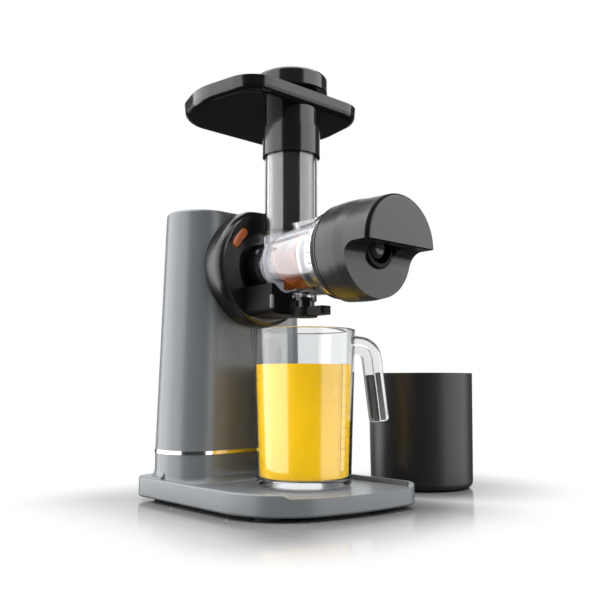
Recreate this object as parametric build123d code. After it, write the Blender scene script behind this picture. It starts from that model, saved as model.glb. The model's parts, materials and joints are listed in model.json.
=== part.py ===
from build123d import *
import os
from math import acos, cos, pi, radians, sin, tan

# Cold press juicer. Millimetres. The machine stands on z = 0. The drum's axis runs along X, towards
# the pulp outlet at +X, and the origin is on the counter below the feed tube's axis.
# +Y is the machine's left side.

# ---- driving dimensions: fits ----
RUNNING_GAP = 0.05        # radial, shafts in their bearings and bushes
SLIDING_GAP = 0.3         # lift-off parts, buttons, caps
SEAT_GAP = 0.2            # between a lift-off part and the face that it stands on

# ---- driving dimensions: base ----
BASE_HALF_WIDTH = 88.0
BASE_REAR_X = -146.0
BASE_FRONT_X = 90.4
BASE_BOTTOM_Z = 4.0
BASE_RIM_Z = 23.8
BASE_FLOOR_Z = 19.0
BASE_LIP_Z = 20.0
BASE_WALL = 3.0
BASE_RIM_WIDTH = 5.0
BASE_RIM_FILLET = 1.8
BASE_BOTTOM_FILLET = 2.4
NEAR_CORNER_RADIUS = 74.6
FRONT_BOW_RADIUS = 297.0
FRONT_BOW_ANGLE = 15.2    # degrees that the bowed front turns through
FAR_CORNER_RADIUS = 22.0
REAR_CORNER_RADIUS = 20.0
FOOT_RADIUS = 12.5
FOOT_RECESS = 1.2
COVER_THICKNESS = 3.0     # bottom cover
SCREW_RADIUS = 1.5
SCREW_HEAD_RADIUS = 3.0
SCREW_HEAD_HEIGHT = 2.2
GLAND_RADIUS = 5.5
GLAND_BORE_RADIUS = 3.6
GLAND_FLANGE = 2.0
GLAND_Z = 40.2

# ---- driving dimensions: tower ----
TOWER_FRONT_X = -57.0
TOWER_REAR_X = -137.0
TOWER_HALF_WIDTH = 82.5
TOWER_CORNER_RADIUS = 36.5
TOWER_TOP_Z = 291.0
TOWER_TOP_REAR_X = -131.5
TOWER_TOP_HALF_WIDTH = 77.5
TOWER_WALL = 2.6
TOWER_EDGE_RADIUS = 3.0
PLINTH_TOP_Z = 48.2
PLINTH_FILLET = 8.5
PLINTH_WALL = 4.6
TRIM_HEIGHT = 3.4
TRIM_STANDOUT = 0.5
VENT_ROWS = 9
VENT_Z = 84.0
VENT_PITCH = 7.0
VENT_LENGTH = 60.0
VENT_WIDTH = 2.6

# ---- driving dimensions: control panel ----
PANEL_X = -110.0
PANEL_LENGTH = 84.0
PANEL_WIDTH = 28.0
PANEL_THICKNESS = 2.0
PANEL_STANDOUT = 0.3
BUTTON_RADIUS = 9.0
BUTTON_OFFSET_Y = 20.0
BUTTON_STANDOUT = 1.6
BUTTON_TRAVEL = 1.2
BUTTON_HEIGHT = 6.0
BUTTON_HOLLOW = 3.0
SWITCH_HEIGHT = 5.0
BOARD_THICKNESS = 1.6
SPRING_WIRE = 0.5
SPRING_RADIUS = 4.2
SPRING_TURNS = 4
SWITCH_HALF_WIDTH = 2.4
BOARD_HALF_LENGTH = 34.0
BOARD_HALF_WIDTH = 10.0
BOARD_DROP = 19.0         # of the switch board's underside below the tower's top

# ---- driving dimensions: drum ----
DRUM_Z = 234.3
BEZEL_RADIUS = 60.4
BEZEL_FACE_RADIUS = 54.0   # where the rounded side meets the front face
BEZEL_ROUNDING = 8.0
BEZEL_FRONT_X = -37.0
BEZEL_WALL = 3.0
BEZEL_BORE_RADIUS = 36.0
BEZEL_RECESS = 6.0
BEZEL_SCREW_CIRCLE = 42.0
HUB_WALL = 7.2
HUB_FRONT_X = -27.5
SEAL_RADIUS = 10.0
SOCKET_DEPTH = 10.0
NECK_RADIUS = 17.5
NECK_WALL = 3.9
SHOULDER_X = -11.0
CHAMBER_REAR_RADIUS = 31.5
CHAMBER_FRONT_RADIUS = 36.4
CHAMBER_FRONT_X = 60.0
CHAMBER_WALL = 3.0
FLANGE_STEP = 2.6         # of the flange beyond the spigot
FLANGE_X = 66.0
FLANGE_THICKNESS = 5.0
SPIGOT_LENGTH = 20.0
SPIGOT_STEP = 2.0         # of the spigot beyond the front of the chamber's body

# ---- driving dimensions: feed tube, hopper and tamper ----
TUBE_RADIUS = 26.5
TUBE_WALL = 2.5
TUBE_TOP_Z = 372.0
COLLAR_BOTTOM_Z = 341.4
COLLAR_STEP_Z = 370.0
COLLAR_WALL = 2.0
HOPPER_BOTTOM_Z = 388.0
HOPPER_RIM_Z = 402.5
HOPPER_WALL = 2.6
HOPPER_FLARE = 1.5
HOPPER_EDGE_RADIUS = 7.0  # of the rounded edge around the tray's underside
HOPPER_INNER_RADIUS = 2.5
HOPPER_FRONT_REACH = 3.5  # of the tray's front beyond the feed tube
HOPPER_REAR_X = -103.0
HOPPER_WIDEST_X = -40.0
HOPPER_FRONT_HALF_WIDTH = 73.0
HOPPER_HALF_WIDTH = 86.0
HOPPER_REAR_HALF_WIDTH = 66.0
TAMPER_GAP = 1.4          # radial, the pusher in the feed tube
TAMPER_WALL = 2.4
TAMPER_BOTTOM_Z = 264.0
TAMPER_NECK_WALL = 3.2
TAMPER_NECK_Z = 391.0
TAMPER_CAP_RADIUS = 36.3
TAMPER_CAP_Z = 405.5
TAMPER_CAP_TOP_Z = 423.0

# ---- driving dimensions: end cap and pulp outlet ----
CAP_REAR_X = 77.7
CAP_FACE_X = 114.6
HOOD_FRONT_X = 143.3
CAP_REAR_WALL = 5.9
CAP_SWELL = 0.8           # of the barrel's fullest place beyond its rear
CAP_FACE_DROP = 0.3       # of the barrel's radius at the outlet's face
CAP_FRONT_DROP = 1.1
CAP_EDGE_RADIUS = 4.0     # of the hood's rounded front edge
CAP_FACE_THICKNESS = 4.0
HOOD_FILLET = 13.0
OUTLET_RING_RADIUS = 18.5
OUTLET_BORE_RADIUS = 14.0
OUTLET_STANDOUT = 2.6

# ---- driving dimensions: auger and strainer ----
AUGER_GAP = 2.0           # radial, the flights in the chamber's rear end
AUGER_TAPER = 5.0
AUGER_CORE_RADIUS = 12.0
SEAL_RING_WIDTH = 1.2
AUGER_PIN_RADIUS = 4.0
AUGER_CONE_RADIUS = 17.0
AUGER_CONE_LENGTH = 16.0
AUGER_REAR_X = -6.0
AUGER_TAPER_X = 48.0
AUGER_FRONT_X = 100.0
AUGER_FIN = 6.0
AUGER_TURNS = 2.0
AUGER_TIP_RADIUS = 10.5
AUGER_TIP_X = 118.0
STRAINER_REAR_X = 46.0
STRAINER_FRONT_X = 106.0
STRAINER_GAP = 1.0
STRAINER_WALL = 1.4
STRAINER_SLOTS = 20

# ---- driving dimensions: juice outlet ----
NOZZLE_X = 20.0
NOZZLE_RADIUS = 8.5
NOZZLE_BOTTOM_Z = 182.0
NOZZLE_BORE_RADIUS = 3.5
NOZZLE_BORE_OFFSET = 4.3
LEVER_ANGLE = 65.0        # degrees that the drip-stop lever swings from shut to open
LEVER_RING_RADIUS = 12.0
LEVER_FLOOR = 2.0
LEVER_HEIGHT = 9.0
LEVER_TAB_X = 50.5
LEVER_TAB_WIDTH = 13.0
CRADLE_FRONT_X = 4.0
CRADLE_HALF_WIDTH = 28.0
CRADLE_BOTTOM_Z = 183.0

# ---- driving dimensions: gears and motor ----
GEAR_PRESSURE_ANGLE = 20.0
GEAR_BACKLASH = 0.16      # tooth thinning at the pitch circle, each gear
OUTPUT_TEETH = 54
OUTPUT_MODULE = 1.5
SECOND_TEETH = 52
SECOND_MODULE = 1.25
FIRST_TEETH = 56
FIRST_MODULE = 1.0
CLUSTER_PINION_TEETH = 17
MOTOR_PINION_TEETH = 16
PLATE_THICKNESS = 4.0
PLATE_HALF_WIDTH = 44.0
PLATE_MARGIN = 7.0
OUTPUT_WIDTH = 8.0
SECOND_WIDTH = 7.0
FIRST_WIDTH = 5.0
GEAR_SPACING = 1.6
SHAFT_RADIUS = 6.0
HEX_FLATS = 10.0
BEARING_RADIUS = 12.0
PIN_RADIUS = 4.0
POST_RADIUS = 3.5
POST_OFFSET_Y = 38.0
MOTOR_RADIUS = 34.0
MOTOR_WALL = 2.0
MOTOR_SHAFT_RADIUS = 3.0
MOTOR_REAR_X = -130.5
ARMATURE_RADIUS = 25.0
MOTOR_BOSS_RADIUS = 9.0
MOTOR_BEARING_RADIUS = 7.0

# ---- driving dimensions: release button ----
RELEASE_RADIUS = 44.5     # of the curved button's middle, from the drum's axis
RELEASE_ANGLE = 142.0     # of the button's middle, in degrees from +Y towards +Z
RELEASE_ARC = 20.0
RELEASE_WIDTH = 9.5
RELEASE_TRAVEL = 2.5
RELEASE_DEPTH = 7.0
RELEASE_STANDOUT = 0.8

# ---- driving dimensions: jug and cup ----
JUG_X = 0.0
JUG_Y = 17.0
JUG_BOTTOM_RADIUS = 45.8
JUG_RIM_RADIUS = 51.2
JUG_RIM_Z = 169.6
JUG_WALL = 2.6
JUG_FLOOR = 7.0
JUG_EDGE_RADIUS = 3.0
SPOUT_REACH = 2.0
SPOUT_RADIUS = 15.0
SPOUT_HEIGHT = 26.0
HANDLE_ANGLE = 48.0       # degrees from +X towards +Y
HANDLE_WIDTH = 14.0
HANDLE_DEPTH = 19.0
HANDLE_TOP_Z = 154.0
HANDLE_BOTTOM_Z = 80.0
HANDLE_TOP_REACH = 14.4    # of the handle's middle beyond the jug's rim
HANDLE_BOTTOM_REACH = 22.6
HANDLE_BEND = 13.0
CUP_X = -9.0
CUP_Y = 208.0
CUP_BOTTOM_RADIUS = 57.8
CUP_RIM_RADIUS = 59.6
CUP_HEIGHT = 128.5
CUP_WALL = 2.4
CUP_EDGE_RADIUS = 8.0

# ---- worked-out places ----
tower_inner_front_x = TOWER_FRONT_X - TOWER_WALL
tower_corner = min(TOWER_CORNER_RADIUS, (TOWER_FRONT_X - TOWER_TOP_REAR_X) / 2 - 0.5)
shell_bottom_z = PLINTH_TOP_Z + TRIM_HEIGHT
plate_front_x = tower_inner_front_x - PLATE_THICKNESS
bezel_screw_seat_x = plate_front_x + SCREW_HEAD_HEIGHT
output_gear_x = plate_front_x - GEAR_SPACING - OUTPUT_WIDTH
second_gear_x = output_gear_x - GEAR_SPACING - SECOND_WIDTH
first_gear_x = second_gear_x - GEAR_SPACING - FIRST_WIDTH
plate_rear_x = first_gear_x - GEAR_SPACING - PLATE_THICKNESS
second_axis_z = DRUM_Z - OUTPUT_MODULE * (OUTPUT_TEETH + CLUSTER_PINION_TEETH) / 2
first_axis_z = second_axis_z - SECOND_MODULE * (SECOND_TEETH + CLUSTER_PINION_TEETH) / 2
motor_axis_z = first_axis_z - FIRST_MODULE * (FIRST_TEETH + MOTOR_PINION_TEETH) / 2
plate_top_z = DRUM_Z + OUTPUT_MODULE * OUTPUT_TEETH / 2 + PLATE_MARGIN + POST_RADIUS
plate_bottom_z = motor_axis_z - MOTOR_RADIUS
post_heights = [plate_bottom_z + PLATE_MARGIN, second_axis_z - 21.0, plate_top_z - PLATE_MARGIN]
bezel_rear_x = TOWER_FRONT_X - 22.0
socket_x = HUB_FRONT_X - SOCKET_DEPTH
neck_rear_x = socket_x + 1.0
hex_rear_x = neck_rear_x - 1.0
hex_front_x = -13.0
auger_boss_x = neck_rear_x + 4.5
tube_bore_radius = TUBE_RADIUS - TUBE_WALL
collar_radius = TUBE_RADIUS + SLIDING_GAP + COLLAR_WALL
hopper_front_x = TUBE_RADIUS + HOPPER_FRONT_REACH
tamper_radius = tube_bore_radius - TAMPER_GAP
tamper_neck_radius = tamper_radius + TAMPER_NECK_WALL
hub_radius = NECK_RADIUS + SLIDING_GAP + HUB_WALL
neck_bore_radius = NECK_RADIUS - NECK_WALL
auger_boss_radius = neck_bore_radius - SEAL_RING_WIDTH
auger_radius = CHAMBER_REAR_RADIUS - CHAMBER_WALL - AUGER_GAP
auger_front_radius = auger_radius - AUGER_TAPER
spigot_radius = CHAMBER_FRONT_RADIUS + SPIGOT_STEP
flange_radius = spigot_radius + FLANGE_STEP
cap_rear_radius = spigot_radius + SLIDING_GAP + CAP_REAR_WALL
cap_middle_radius = cap_rear_radius + CAP_SWELL
cap_face_radius = cap_rear_radius - CAP_FACE_DROP
cap_front_radius = cap_rear_radius - CAP_FRONT_DROP
jug_floor_z = BASE_FLOOR_Z + SEAT_GAP
panel_top_z = TOWER_TOP_Z + PANEL_STANDOUT
button_bottom_z = TOWER_TOP_Z + BUTTON_STANDOUT - BUTTON_HEIGHT
switch_board_z = TOWER_TOP_Z - BOARD_DROP
foot_places = [(BASE_REAR_X + 26, BASE_HALF_WIDTH - 26), (BASE_REAR_X + 26, -BASE_HALF_WIDTH + 26),
               (BASE_FRONT_X - 26, BASE_HALF_WIDTH - 28), (BASE_FRONT_X - 52, -BASE_HALF_WIDTH + 28),
               (0, 0)]
boss_places = [(BASE_REAR_X + 60, BASE_HALF_WIDTH - 12), (BASE_REAR_X + 60, -BASE_HALF_WIDTH + 12),
               (BASE_FRONT_X - 60, BASE_HALF_WIDTH - 14), (BASE_FRONT_X - 90, -BASE_HALF_WIDTH + 14)]


# ---- shape helpers ----
def cylinder_x(radius, x0, x1, y=0.0, z=DRUM_Z):
    """Cylinder along X from x0 to x1."""
    return Pos((x0 + x1) / 2, y, z) * Rot(0, 90, 0) * Cylinder(radius, x1 - x0)


def ring_x(outer, inner, x0, x1, y=0.0, z=DRUM_Z):
    return cylinder_x(outer, x0, x1, y, z) - cylinder_x(inner, x0 - 1, x1 + 1, y, z)


def cylinder_z(radius, z0, z1, x=0.0, y=0.0):
    """Upright cylinder from z0 to z1."""
    return Pos(x, y, (z0 + z1) / 2) * Cylinder(radius, z1 - z0)


def ring_z(outer, inner, z0, z1, x=0.0, y=0.0):
    return cylinder_z(outer, z0, z1, x, y) - cylinder_z(inner, z0 - 1, z1 + 1, x, y)


def box_between(low, high):
    size = [b - a for a, b in zip(low, high)]
    middle = [(a + b) / 2 for a, b in zip(low, high)]
    return Pos(*middle) * Box(*size)


def turned_x(points):
    """Solid of revolution about the drum's axis from (x, radius) points."""
    outline = [(x, DRUM_Z + r) for x, r in points]
    face = Plane.XZ * make_face(Polyline(*outline, close=True))
    return revolve(face, Axis((0, 0, DRUM_Z), (1, 0, 0)))


def turned_z(points, x=0.0, y=0.0):
    """Upright solid of revolution from (radius, z) points."""
    face = Plane.XZ * make_face(Polyline(*points, close=True))
    return Pos(x, y, 0) * revolve(face, Axis.Z)


def at_height(sketch, z):
    return Pos(0, 0, z) * sketch


def in_plane_x(sketch, x, y=0.0, z=DRUM_Z):
    """Put a sketch whose x and y are the machine's Y and Z in the plane at x."""
    return Plane(origin=(x, y, z), x_dir=(0, 1, 0), z_dir=(1, 0, 0)) * sketch


# ---- base ----
def base_outline(inset=0.0):
    """Plan of the base: straight sides, a wide near corner, a bowed front and a tight far corner."""
    half = BASE_HALF_WIDTH - inset
    near = NEAR_CORNER_RADIUS - inset
    bow = FRONT_BOW_RADIUS - inset
    far = FAR_CORNER_RADIUS - inset
    rear = REAR_CORNER_RADIUS - inset
    front_x = BASE_FRONT_X - inset
    rear_x = BASE_REAR_X + inset
    turn = radians(FRONT_BOW_ANGLE)
    near_x = front_x - near * cos(turn) - bow * (1 - cos(turn))
    corner = JernArc((near_x, -half), (1, 0), near, 90 - FRONT_BOW_ANGLE)
    front = JernArc(corner @ 1, corner % 1, bow, FRONT_BOW_ANGLE)
    straight = Line(front @ 1, (front_x, half - far))
    far_arc = JernArc(straight @ 1, (0, 1), far, 90)
    far_side = Line(far_arc @ 1, (rear_x + rear, half))
    rear_left = JernArc(far_side @ 1, (-1, 0), rear, 90)
    back = Line(rear_left @ 1, (rear_x, -half + rear))
    rear_right = JernArc(back @ 1, (0, -1), rear, 90)
    near_side = Line(rear_right @ 1, (near_x, -half))
    edges = [corner, front, straight, far_arc, far_side, rear_left, back, rear_right, near_side]
    return make_face(Curve() + edges)


def tower_section(z, inset=0.0):
    """Rounded plan of the tower at height z; the front face is upright and the rest leans in."""
    share = (z - PLINTH_TOP_Z) / (TOWER_TOP_Z - PLINTH_TOP_Z)
    rear = TOWER_REAR_X + share * (TOWER_TOP_REAR_X - TOWER_REAR_X)
    half = TOWER_HALF_WIDTH + share * (TOWER_TOP_HALF_WIDTH - TOWER_HALF_WIDTH)
    length = TOWER_FRONT_X - rear - 2 * inset
    plan = RectangleRounded(length, 2 * (half - inset), tower_corner - inset)
    return at_height(Pos((TOWER_FRONT_X + rear) / 2, 0) * plan, z)


def make_base_shell():
    """One moulding: the platform with its rim, and the plinth that carries the tower."""
    platform = extrude(at_height(base_outline(), BASE_BOTTOM_Z), BASE_RIM_Z - BASE_BOTTOM_Z)
    platform = fillet(platform.edges().group_by(Axis.Z)[-1], BASE_RIM_FILLET)
    platform = fillet(platform.edges().group_by(Axis.Z)[0], BASE_BOTTOM_FILLET)
    plinth = extrude(plinth_section(BASE_RIM_Z - 1), PLINTH_TOP_Z - BASE_RIM_Z + 1)
    behind_recess = box_between((BASE_REAR_X - 1, -BASE_HALF_WIDTH, 0),
                                (TOWER_FRONT_X - TOWER_CORNER_RADIUS, BASE_HALF_WIDTH, 2 * PLINTH_TOP_Z))
    recess = extrude(at_height(base_outline(BASE_RIM_WIDTH), BASE_FLOOR_Z), BASE_RIM_Z)
    shell = platform - (recess - behind_recess)
    shell += plinth_flare(BASE_FLOOR_Z)
    shell += plinth_flare(BASE_RIM_Z - 0.2) & behind_recess
    shell += plinth
    shell -= front_step()
    hollow = extrude(at_height(base_outline(BASE_WALL), BASE_BOTTOM_Z - 1),
                     BASE_FLOOR_Z - BASE_WALL - BASE_BOTTOM_Z + 1)
    shell -= hollow
    shell -= extrude(plinth_section(0, PLINTH_WALL), 2 * PLINTH_TOP_Z)
    gland_hole = cylinder_x(GLAND_RADIUS, TOWER_REAR_X - 1, TOWER_REAR_X + PLINTH_WALL + 1, 0, GLAND_Z)
    return shell - gland_hole


def plinth_section(z, inset=0.0):
    """Plan of the plinth, which has the tower's foot print, at height z."""
    return tower_section(PLINTH_TOP_Z, inset).moved(Pos(0, 0, z - PLINTH_TOP_Z))


def plinth_flare(foot_z):
    """Concave skirt that starts at foot_z, as stacked steps of a quarter arc."""
    steps = 8
    skirt = Part()
    for i in range(steps):
        low = radians(90.0 * i / steps)
        high = radians(90.0 * (i + 1) / steps)
        spread_low = PLINTH_FILLET * (1 - sin(low))
        spread_high = PLINTH_FILLET * (1 - sin(high))
        z_low = foot_z - 0.5 if i == 0 else foot_z + PLINTH_FILLET * (1 - cos(low))
        z_high = foot_z + PLINTH_FILLET * (1 - cos(high))
        skirt += loft([plinth_section(z_low, -spread_low), plinth_section(z_high, -spread_high)],
                      ruled=True)
    inside = extrude(base_outline(BASE_RIM_FILLET), PLINTH_TOP_Z)
    return skirt & inside


def front_step():
    """What is cut off the rim so that it drops to a low lip along the front."""
    near_y = -58.0
    far_y = 70.0
    run = 10.0
    above = BASE_RIM_Z + 10
    low = Line((near_y, BASE_LIP_Z), (far_y, BASE_LIP_Z))
    rise_far = Spline((far_y, BASE_LIP_Z), (far_y + run, BASE_RIM_Z + 0.1), tangents=[(1, 0), (1, 0)])
    right = Polyline((far_y + run, BASE_RIM_Z + 0.1), (far_y + run, above), (near_y - run, above),
                     (near_y - run, BASE_RIM_Z + 0.1))
    rise_near = Spline((near_y - run, BASE_RIM_Z + 0.1), (near_y, BASE_LIP_Z),
                       tangents=[(1, 0), (1, 0)])
    profile = make_face(Curve() + [low, rise_far, right, rise_near])
    return extrude(in_plane_x(profile, BASE_FRONT_X - 50, 0, 0), 60)


def make_cord_gland():
    """Rubber bush in the rear wall, where the mains lead goes in."""
    outside = TOWER_REAR_X
    inside = TOWER_REAR_X + PLINTH_WALL
    gland = ring_x(GLAND_RADIUS, GLAND_BORE_RADIUS, outside - GLAND_FLANGE, inside + GLAND_FLANGE,
                   0, GLAND_Z)
    for x in (outside - GLAND_FLANGE, inside):
        gland += ring_x(GLAND_RADIUS + GLAND_FLANGE, GLAND_RADIUS - 0.5, x, x + GLAND_FLANGE, 0, GLAND_Z)
    return gland


def make_base_plate():
    """Bottom cover, with round recesses for the feet and holes for the screws."""
    plate = extrude(at_height(base_outline(BASE_WALL + RUNNING_GAP), BASE_BOTTOM_Z), COVER_THICKNESS)
    for x, y in foot_places:
        plate -= cylinder_z(FOOT_RADIUS + 0.1, 0, BASE_BOTTOM_Z + FOOT_RECESS, x, y)
    for x, y in boss_places:
        plate -= cylinder_z(2.2, 0, 20, x, y)
    return plate


def make_feet():
    """Rubber feet; the fifth one, under the feed tube, takes the push of the tamper."""
    feet = Part()
    for x, y in foot_places:
        foot = cylinder_z(FOOT_RADIUS, 0, BASE_BOTTOM_Z + FOOT_RECESS, x, y)
        feet += chamfer(foot.edges().group_by(Axis.Z)[0], 0.8)
    return feet


def make_base_bosses():
    """Screw posts under the platform's floor; they are part of the base moulding."""
    posts = Part()
    for x, y in boss_places:
        posts += ring_z(5.0, 1.6, BASE_BOTTOM_Z + COVER_THICKNESS, BASE_FLOOR_Z - BASE_WALL + 0.5, x, y)
    return posts


def make_base_screws():
    screws = Part()
    for x, y in boss_places:
        head = cylinder_z(3.6, BASE_BOTTOM_Z - 2.0, BASE_BOTTOM_Z, x, y)
        head -= box_between((x - 2.4, y - 0.5, 0), (x + 2.4, y + 0.5, BASE_BOTTOM_Z - 1.2))
        head -= box_between((x - 0.5, y - 2.4, 0), (x + 0.5, y + 2.4, BASE_BOTTOM_Z - 1.2))
        shank = cylinder_z(1.55, BASE_BOTTOM_Z - 0.5, BASE_FLOOR_Z - BASE_WALL - 1.0, x, y)
        screws += head + shank
    return screws


# ---- tower ----
def make_trim_ring():
    """Bright band between the plinth and the tower shell."""
    outer = tower_section(PLINTH_TOP_Z, -TRIM_STANDOUT)
    inner = tower_section(PLINTH_TOP_Z, TOWER_WALL)
    return extrude(outer, TRIM_HEIGHT) - extrude(inner, TRIM_HEIGHT)


def tower_solid(inset, z0, z1):
    return loft([tower_section(z0, inset), tower_section(z1, inset)], ruled=True)


def make_tower_shell():
    """Hollow housing, open at the bottom, with the front holes, the vents and the panel recess."""
    outer = tower_solid(0, shell_bottom_z, TOWER_TOP_Z)
    outer = fillet(outer.edges().group_by(Axis.Z)[-1], TOWER_EDGE_RADIUS)
    inner = tower_solid(TOWER_WALL, shell_bottom_z - 1, TOWER_TOP_Z - TOWER_WALL)
    shell = outer - inner
    shell -= cylinder_x(BEARING_RADIUS + RUNNING_GAP, tower_inner_front_x - 1, TOWER_FRONT_X + 1)
    for y, z in bezel_screw_places():
        shell -= cylinder_x(2.2, tower_inner_front_x - 1, TOWER_FRONT_X + 1, y, z)
    panel = RectangleRounded(PANEL_WIDTH + 2 * SLIDING_GAP, PANEL_LENGTH + 2 * SLIDING_GAP,
                             PANEL_WIDTH / 2 - 0.5)
    shell -= extrude(at_height(Pos(PANEL_X, 0) * panel, panel_top_z - PANEL_THICKNESS), 5)
    for side in (-1, 1):
        shell -= cylinder_z(BUTTON_RADIUS + SLIDING_GAP, TOWER_TOP_Z - 8, TOWER_TOP_Z + 1,
                            PANEL_X, side * BUTTON_OFFSET_Y)
    for row in range(VENT_ROWS):
        z = VENT_Z + row * VENT_PITCH
        slot = RectangleRounded(VENT_LENGTH, VENT_WIDTH, VENT_WIDTH / 2 - 0.05)
        shell -= extrude(in_plane_x(slot, TOWER_REAR_X - 2, 0, z), 12)
    return shell


def make_control_panel():
    panel = RectangleRounded(PANEL_WIDTH, PANEL_LENGTH, PANEL_WIDTH / 2 - 0.8)
    body = extrude(at_height(Pos(PANEL_X, 0) * panel, panel_top_z - PANEL_THICKNESS), PANEL_THICKNESS)
    for side in (-1, 1):
        body -= cylinder_z(BUTTON_RADIUS + SLIDING_GAP, TOWER_TOP_Z - 8, TOWER_TOP_Z + 2,
                           PANEL_X, side * BUTTON_OFFSET_Y)
    return chamfer(body.faces().sort_by(Axis.Z)[-1].outer_wire().edges(), 0.4)


def make_button(side):
    """Push button with a guide stem that its spring sits around."""
    y = side * BUTTON_OFFSET_Y
    cap = cylinder_z(BUTTON_RADIUS, button_bottom_z, button_bottom_z + BUTTON_HEIGHT, PANEL_X, y)
    cap = fillet(cap.edges().group_by(Axis.Z)[-1], 1.2)
    cap -= cylinder_z(BUTTON_RADIUS - 2.0, button_bottom_z - 1, button_bottom_z + BUTTON_HOLLOW, PANEL_X, y)
    stem_bottom = switch_board_z + SWITCH_HEIGHT + BUTTON_TRAVEL + 0.4
    return cap + cylinder_z(2.2, stem_bottom, button_bottom_z + BUTTON_HOLLOW + 0.5, PANEL_X, y)


def make_button_spring(side):
    """Return spring between the switch board and the underside of the button."""
    y = side * BUTTON_OFFSET_Y
    bottom = switch_board_z + BOARD_THICKNESS + SPRING_WIRE
    top = button_bottom_z + BUTTON_HOLLOW - SPRING_WIRE - RUNNING_GAP
    path = Helix((top - bottom) / SPRING_TURNS, top - bottom, SPRING_RADIUS)
    wire = sweep(Plane(path @ 0, z_dir=path % 0) * Circle(SPRING_WIRE), path=path)
    return Pos(PANEL_X, y, bottom) * wire


def make_switch_board():
    """Board under the buttons with one push switch for each, on four legs from the lid."""
    half = SWITCH_HALF_WIDTH
    board = box_between((PANEL_X - BOARD_HALF_WIDTH, -BOARD_HALF_LENGTH, switch_board_z),
                        (PANEL_X + BOARD_HALF_WIDTH, BOARD_HALF_LENGTH, switch_board_z + BOARD_THICKNESS))
    for side in (-1, 1):
        y = side * BUTTON_OFFSET_Y
        board += box_between((PANEL_X - half, y - half, switch_board_z),
                             (PANEL_X + half, y + half, switch_board_z + SWITCH_HEIGHT))
        for end in (-1, 1):
            board += cylinder_z(2.5, switch_board_z, TOWER_TOP_Z - TOWER_WALL,
                                PANEL_X + end * (BOARD_HALF_WIDTH - 2.5), side * (BOARD_HALF_LENGTH - 2.5))
    return board


def make_control_board():
    """Power board on four stand-offs from the tower's rear wall."""
    board_x = TOWER_REAR_X + 14.0
    board = box_between((board_x, -40, 196), (board_x + BOARD_THICKNESS, 40, 262))
    for y in (-34, 34):
        for z in (203, 255):
            board += cylinder_x(3.0, TOWER_REAR_X, board_x + 0.5, y, z)
    board &= tower_solid(TOWER_WALL, shell_bottom_z, TOWER_TOP_Z)
    board += box_between((board_x, -30, 206), (board_x + 11, -8, 228))
    for z in (238, 250):
        board += cylinder_x(5.0, board_x, board_x + 13, 18, z)
    return board + box_between((board_x, 0, 204), (board_x + 9, 30, 222))


# ---- gears ----
def involute(angle):
    return tan(angle) - angle


def gear_face(teeth, module, bore_radius, tooth_angle):
    """Spur gear outline with involute flanks and one tooth centred on tooth_angle, in degrees."""
    pitch_radius = module * teeth / 2
    base_radius = pitch_radius * cos(radians(GEAR_PRESSURE_ANGLE))
    root_radius = pitch_radius - 1.25 * module
    tip_radius = pitch_radius + 0.95 * module
    half_tooth = pi / (2 * teeth) - GEAR_BACKLASH / (2 * pitch_radius)
    half_at_base = half_tooth + involute(radians(GEAR_PRESSURE_ANGLE))
    flank_start = max(base_radius, root_radius)
    radii = [flank_start + (tip_radius - flank_start) * step / 4 for step in range(5)]
    flank = [(radius, half_at_base - involute(acos(base_radius / radius))) for radius in radii]
    if root_radius < base_radius:
        flank.insert(0, (root_radius, flank[0][1]))
    points = []
    for tooth in range(teeth):
        centre = radians(tooth_angle) + 2 * pi * tooth / teeth
        for radius, half in flank:
            points.append((radius * cos(centre - half), radius * sin(centre - half)))
        for radius, half in reversed(flank):
            points.append((radius * cos(centre + half), radius * sin(centre + half)))
    return make_face(Polyline(*points, close=True)) - Circle(bore_radius)


def gear(teeth, module, bore_radius, tooth_angle, x, width, z):
    return extrude(in_plane_x(gear_face(teeth, module, bore_radius, tooth_angle), x, 0, z), width)


def gap_angle(teeth):
    """Angle of a tooth beside the gap that points straight up."""
    return 90 + 180 / teeth


def make_output_gear():
    """Large gear on the drive shaft, with lightening holes; a tooth points down at its partner."""
    body = gear(OUTPUT_TEETH, OUTPUT_MODULE, SHAFT_RADIUS, -90, output_gear_x, OUTPUT_WIDTH, DRUM_Z)
    body += ring_x(11.0, SHAFT_RADIUS, output_gear_x - 1.0, output_gear_x + OUTPUT_WIDTH + 0.8)
    for spoke in range(6):
        angle = radians(60 * spoke)
        body -= cylinder_x(7.0, output_gear_x - 1, output_gear_x + OUTPUT_WIDTH + 1,
                           25 * cos(angle), DRUM_Z + 25 * sin(angle))
    return body


def make_cluster_gear(teeth, module, width, x, pinion_module, pinion_width, pinion_x, z):
    """Wheel and pinion moulded in one piece on a plain bore; the wheel meshes below, the pinion above."""
    bore = PIN_RADIUS + RUNNING_GAP
    wheel = gear(teeth, module, bore, -90, x, width, z)
    pinion = gear(CLUSTER_PINION_TEETH, pinion_module, bore, gap_angle(CLUSTER_PINION_TEETH),
                  pinion_x, pinion_width, z)
    neck = ring_x(CLUSTER_PINION_TEETH * pinion_module / 2 - 1.25 * pinion_module, bore,
                  x + width - 0.2, pinion_x + 0.2, 0, z)
    return wheel + pinion + neck


def make_motor_pinion():
    return gear(MOTOR_PINION_TEETH, FIRST_MODULE, MOTOR_SHAFT_RADIUS, gap_angle(MOTOR_PINION_TEETH),
                first_gear_x, FIRST_WIDTH, motor_axis_z)


# ---- gearbox ----
def post_places():
    return [(side * POST_OFFSET_Y, z) for side in (-1, 1) for z in post_heights]


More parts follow.
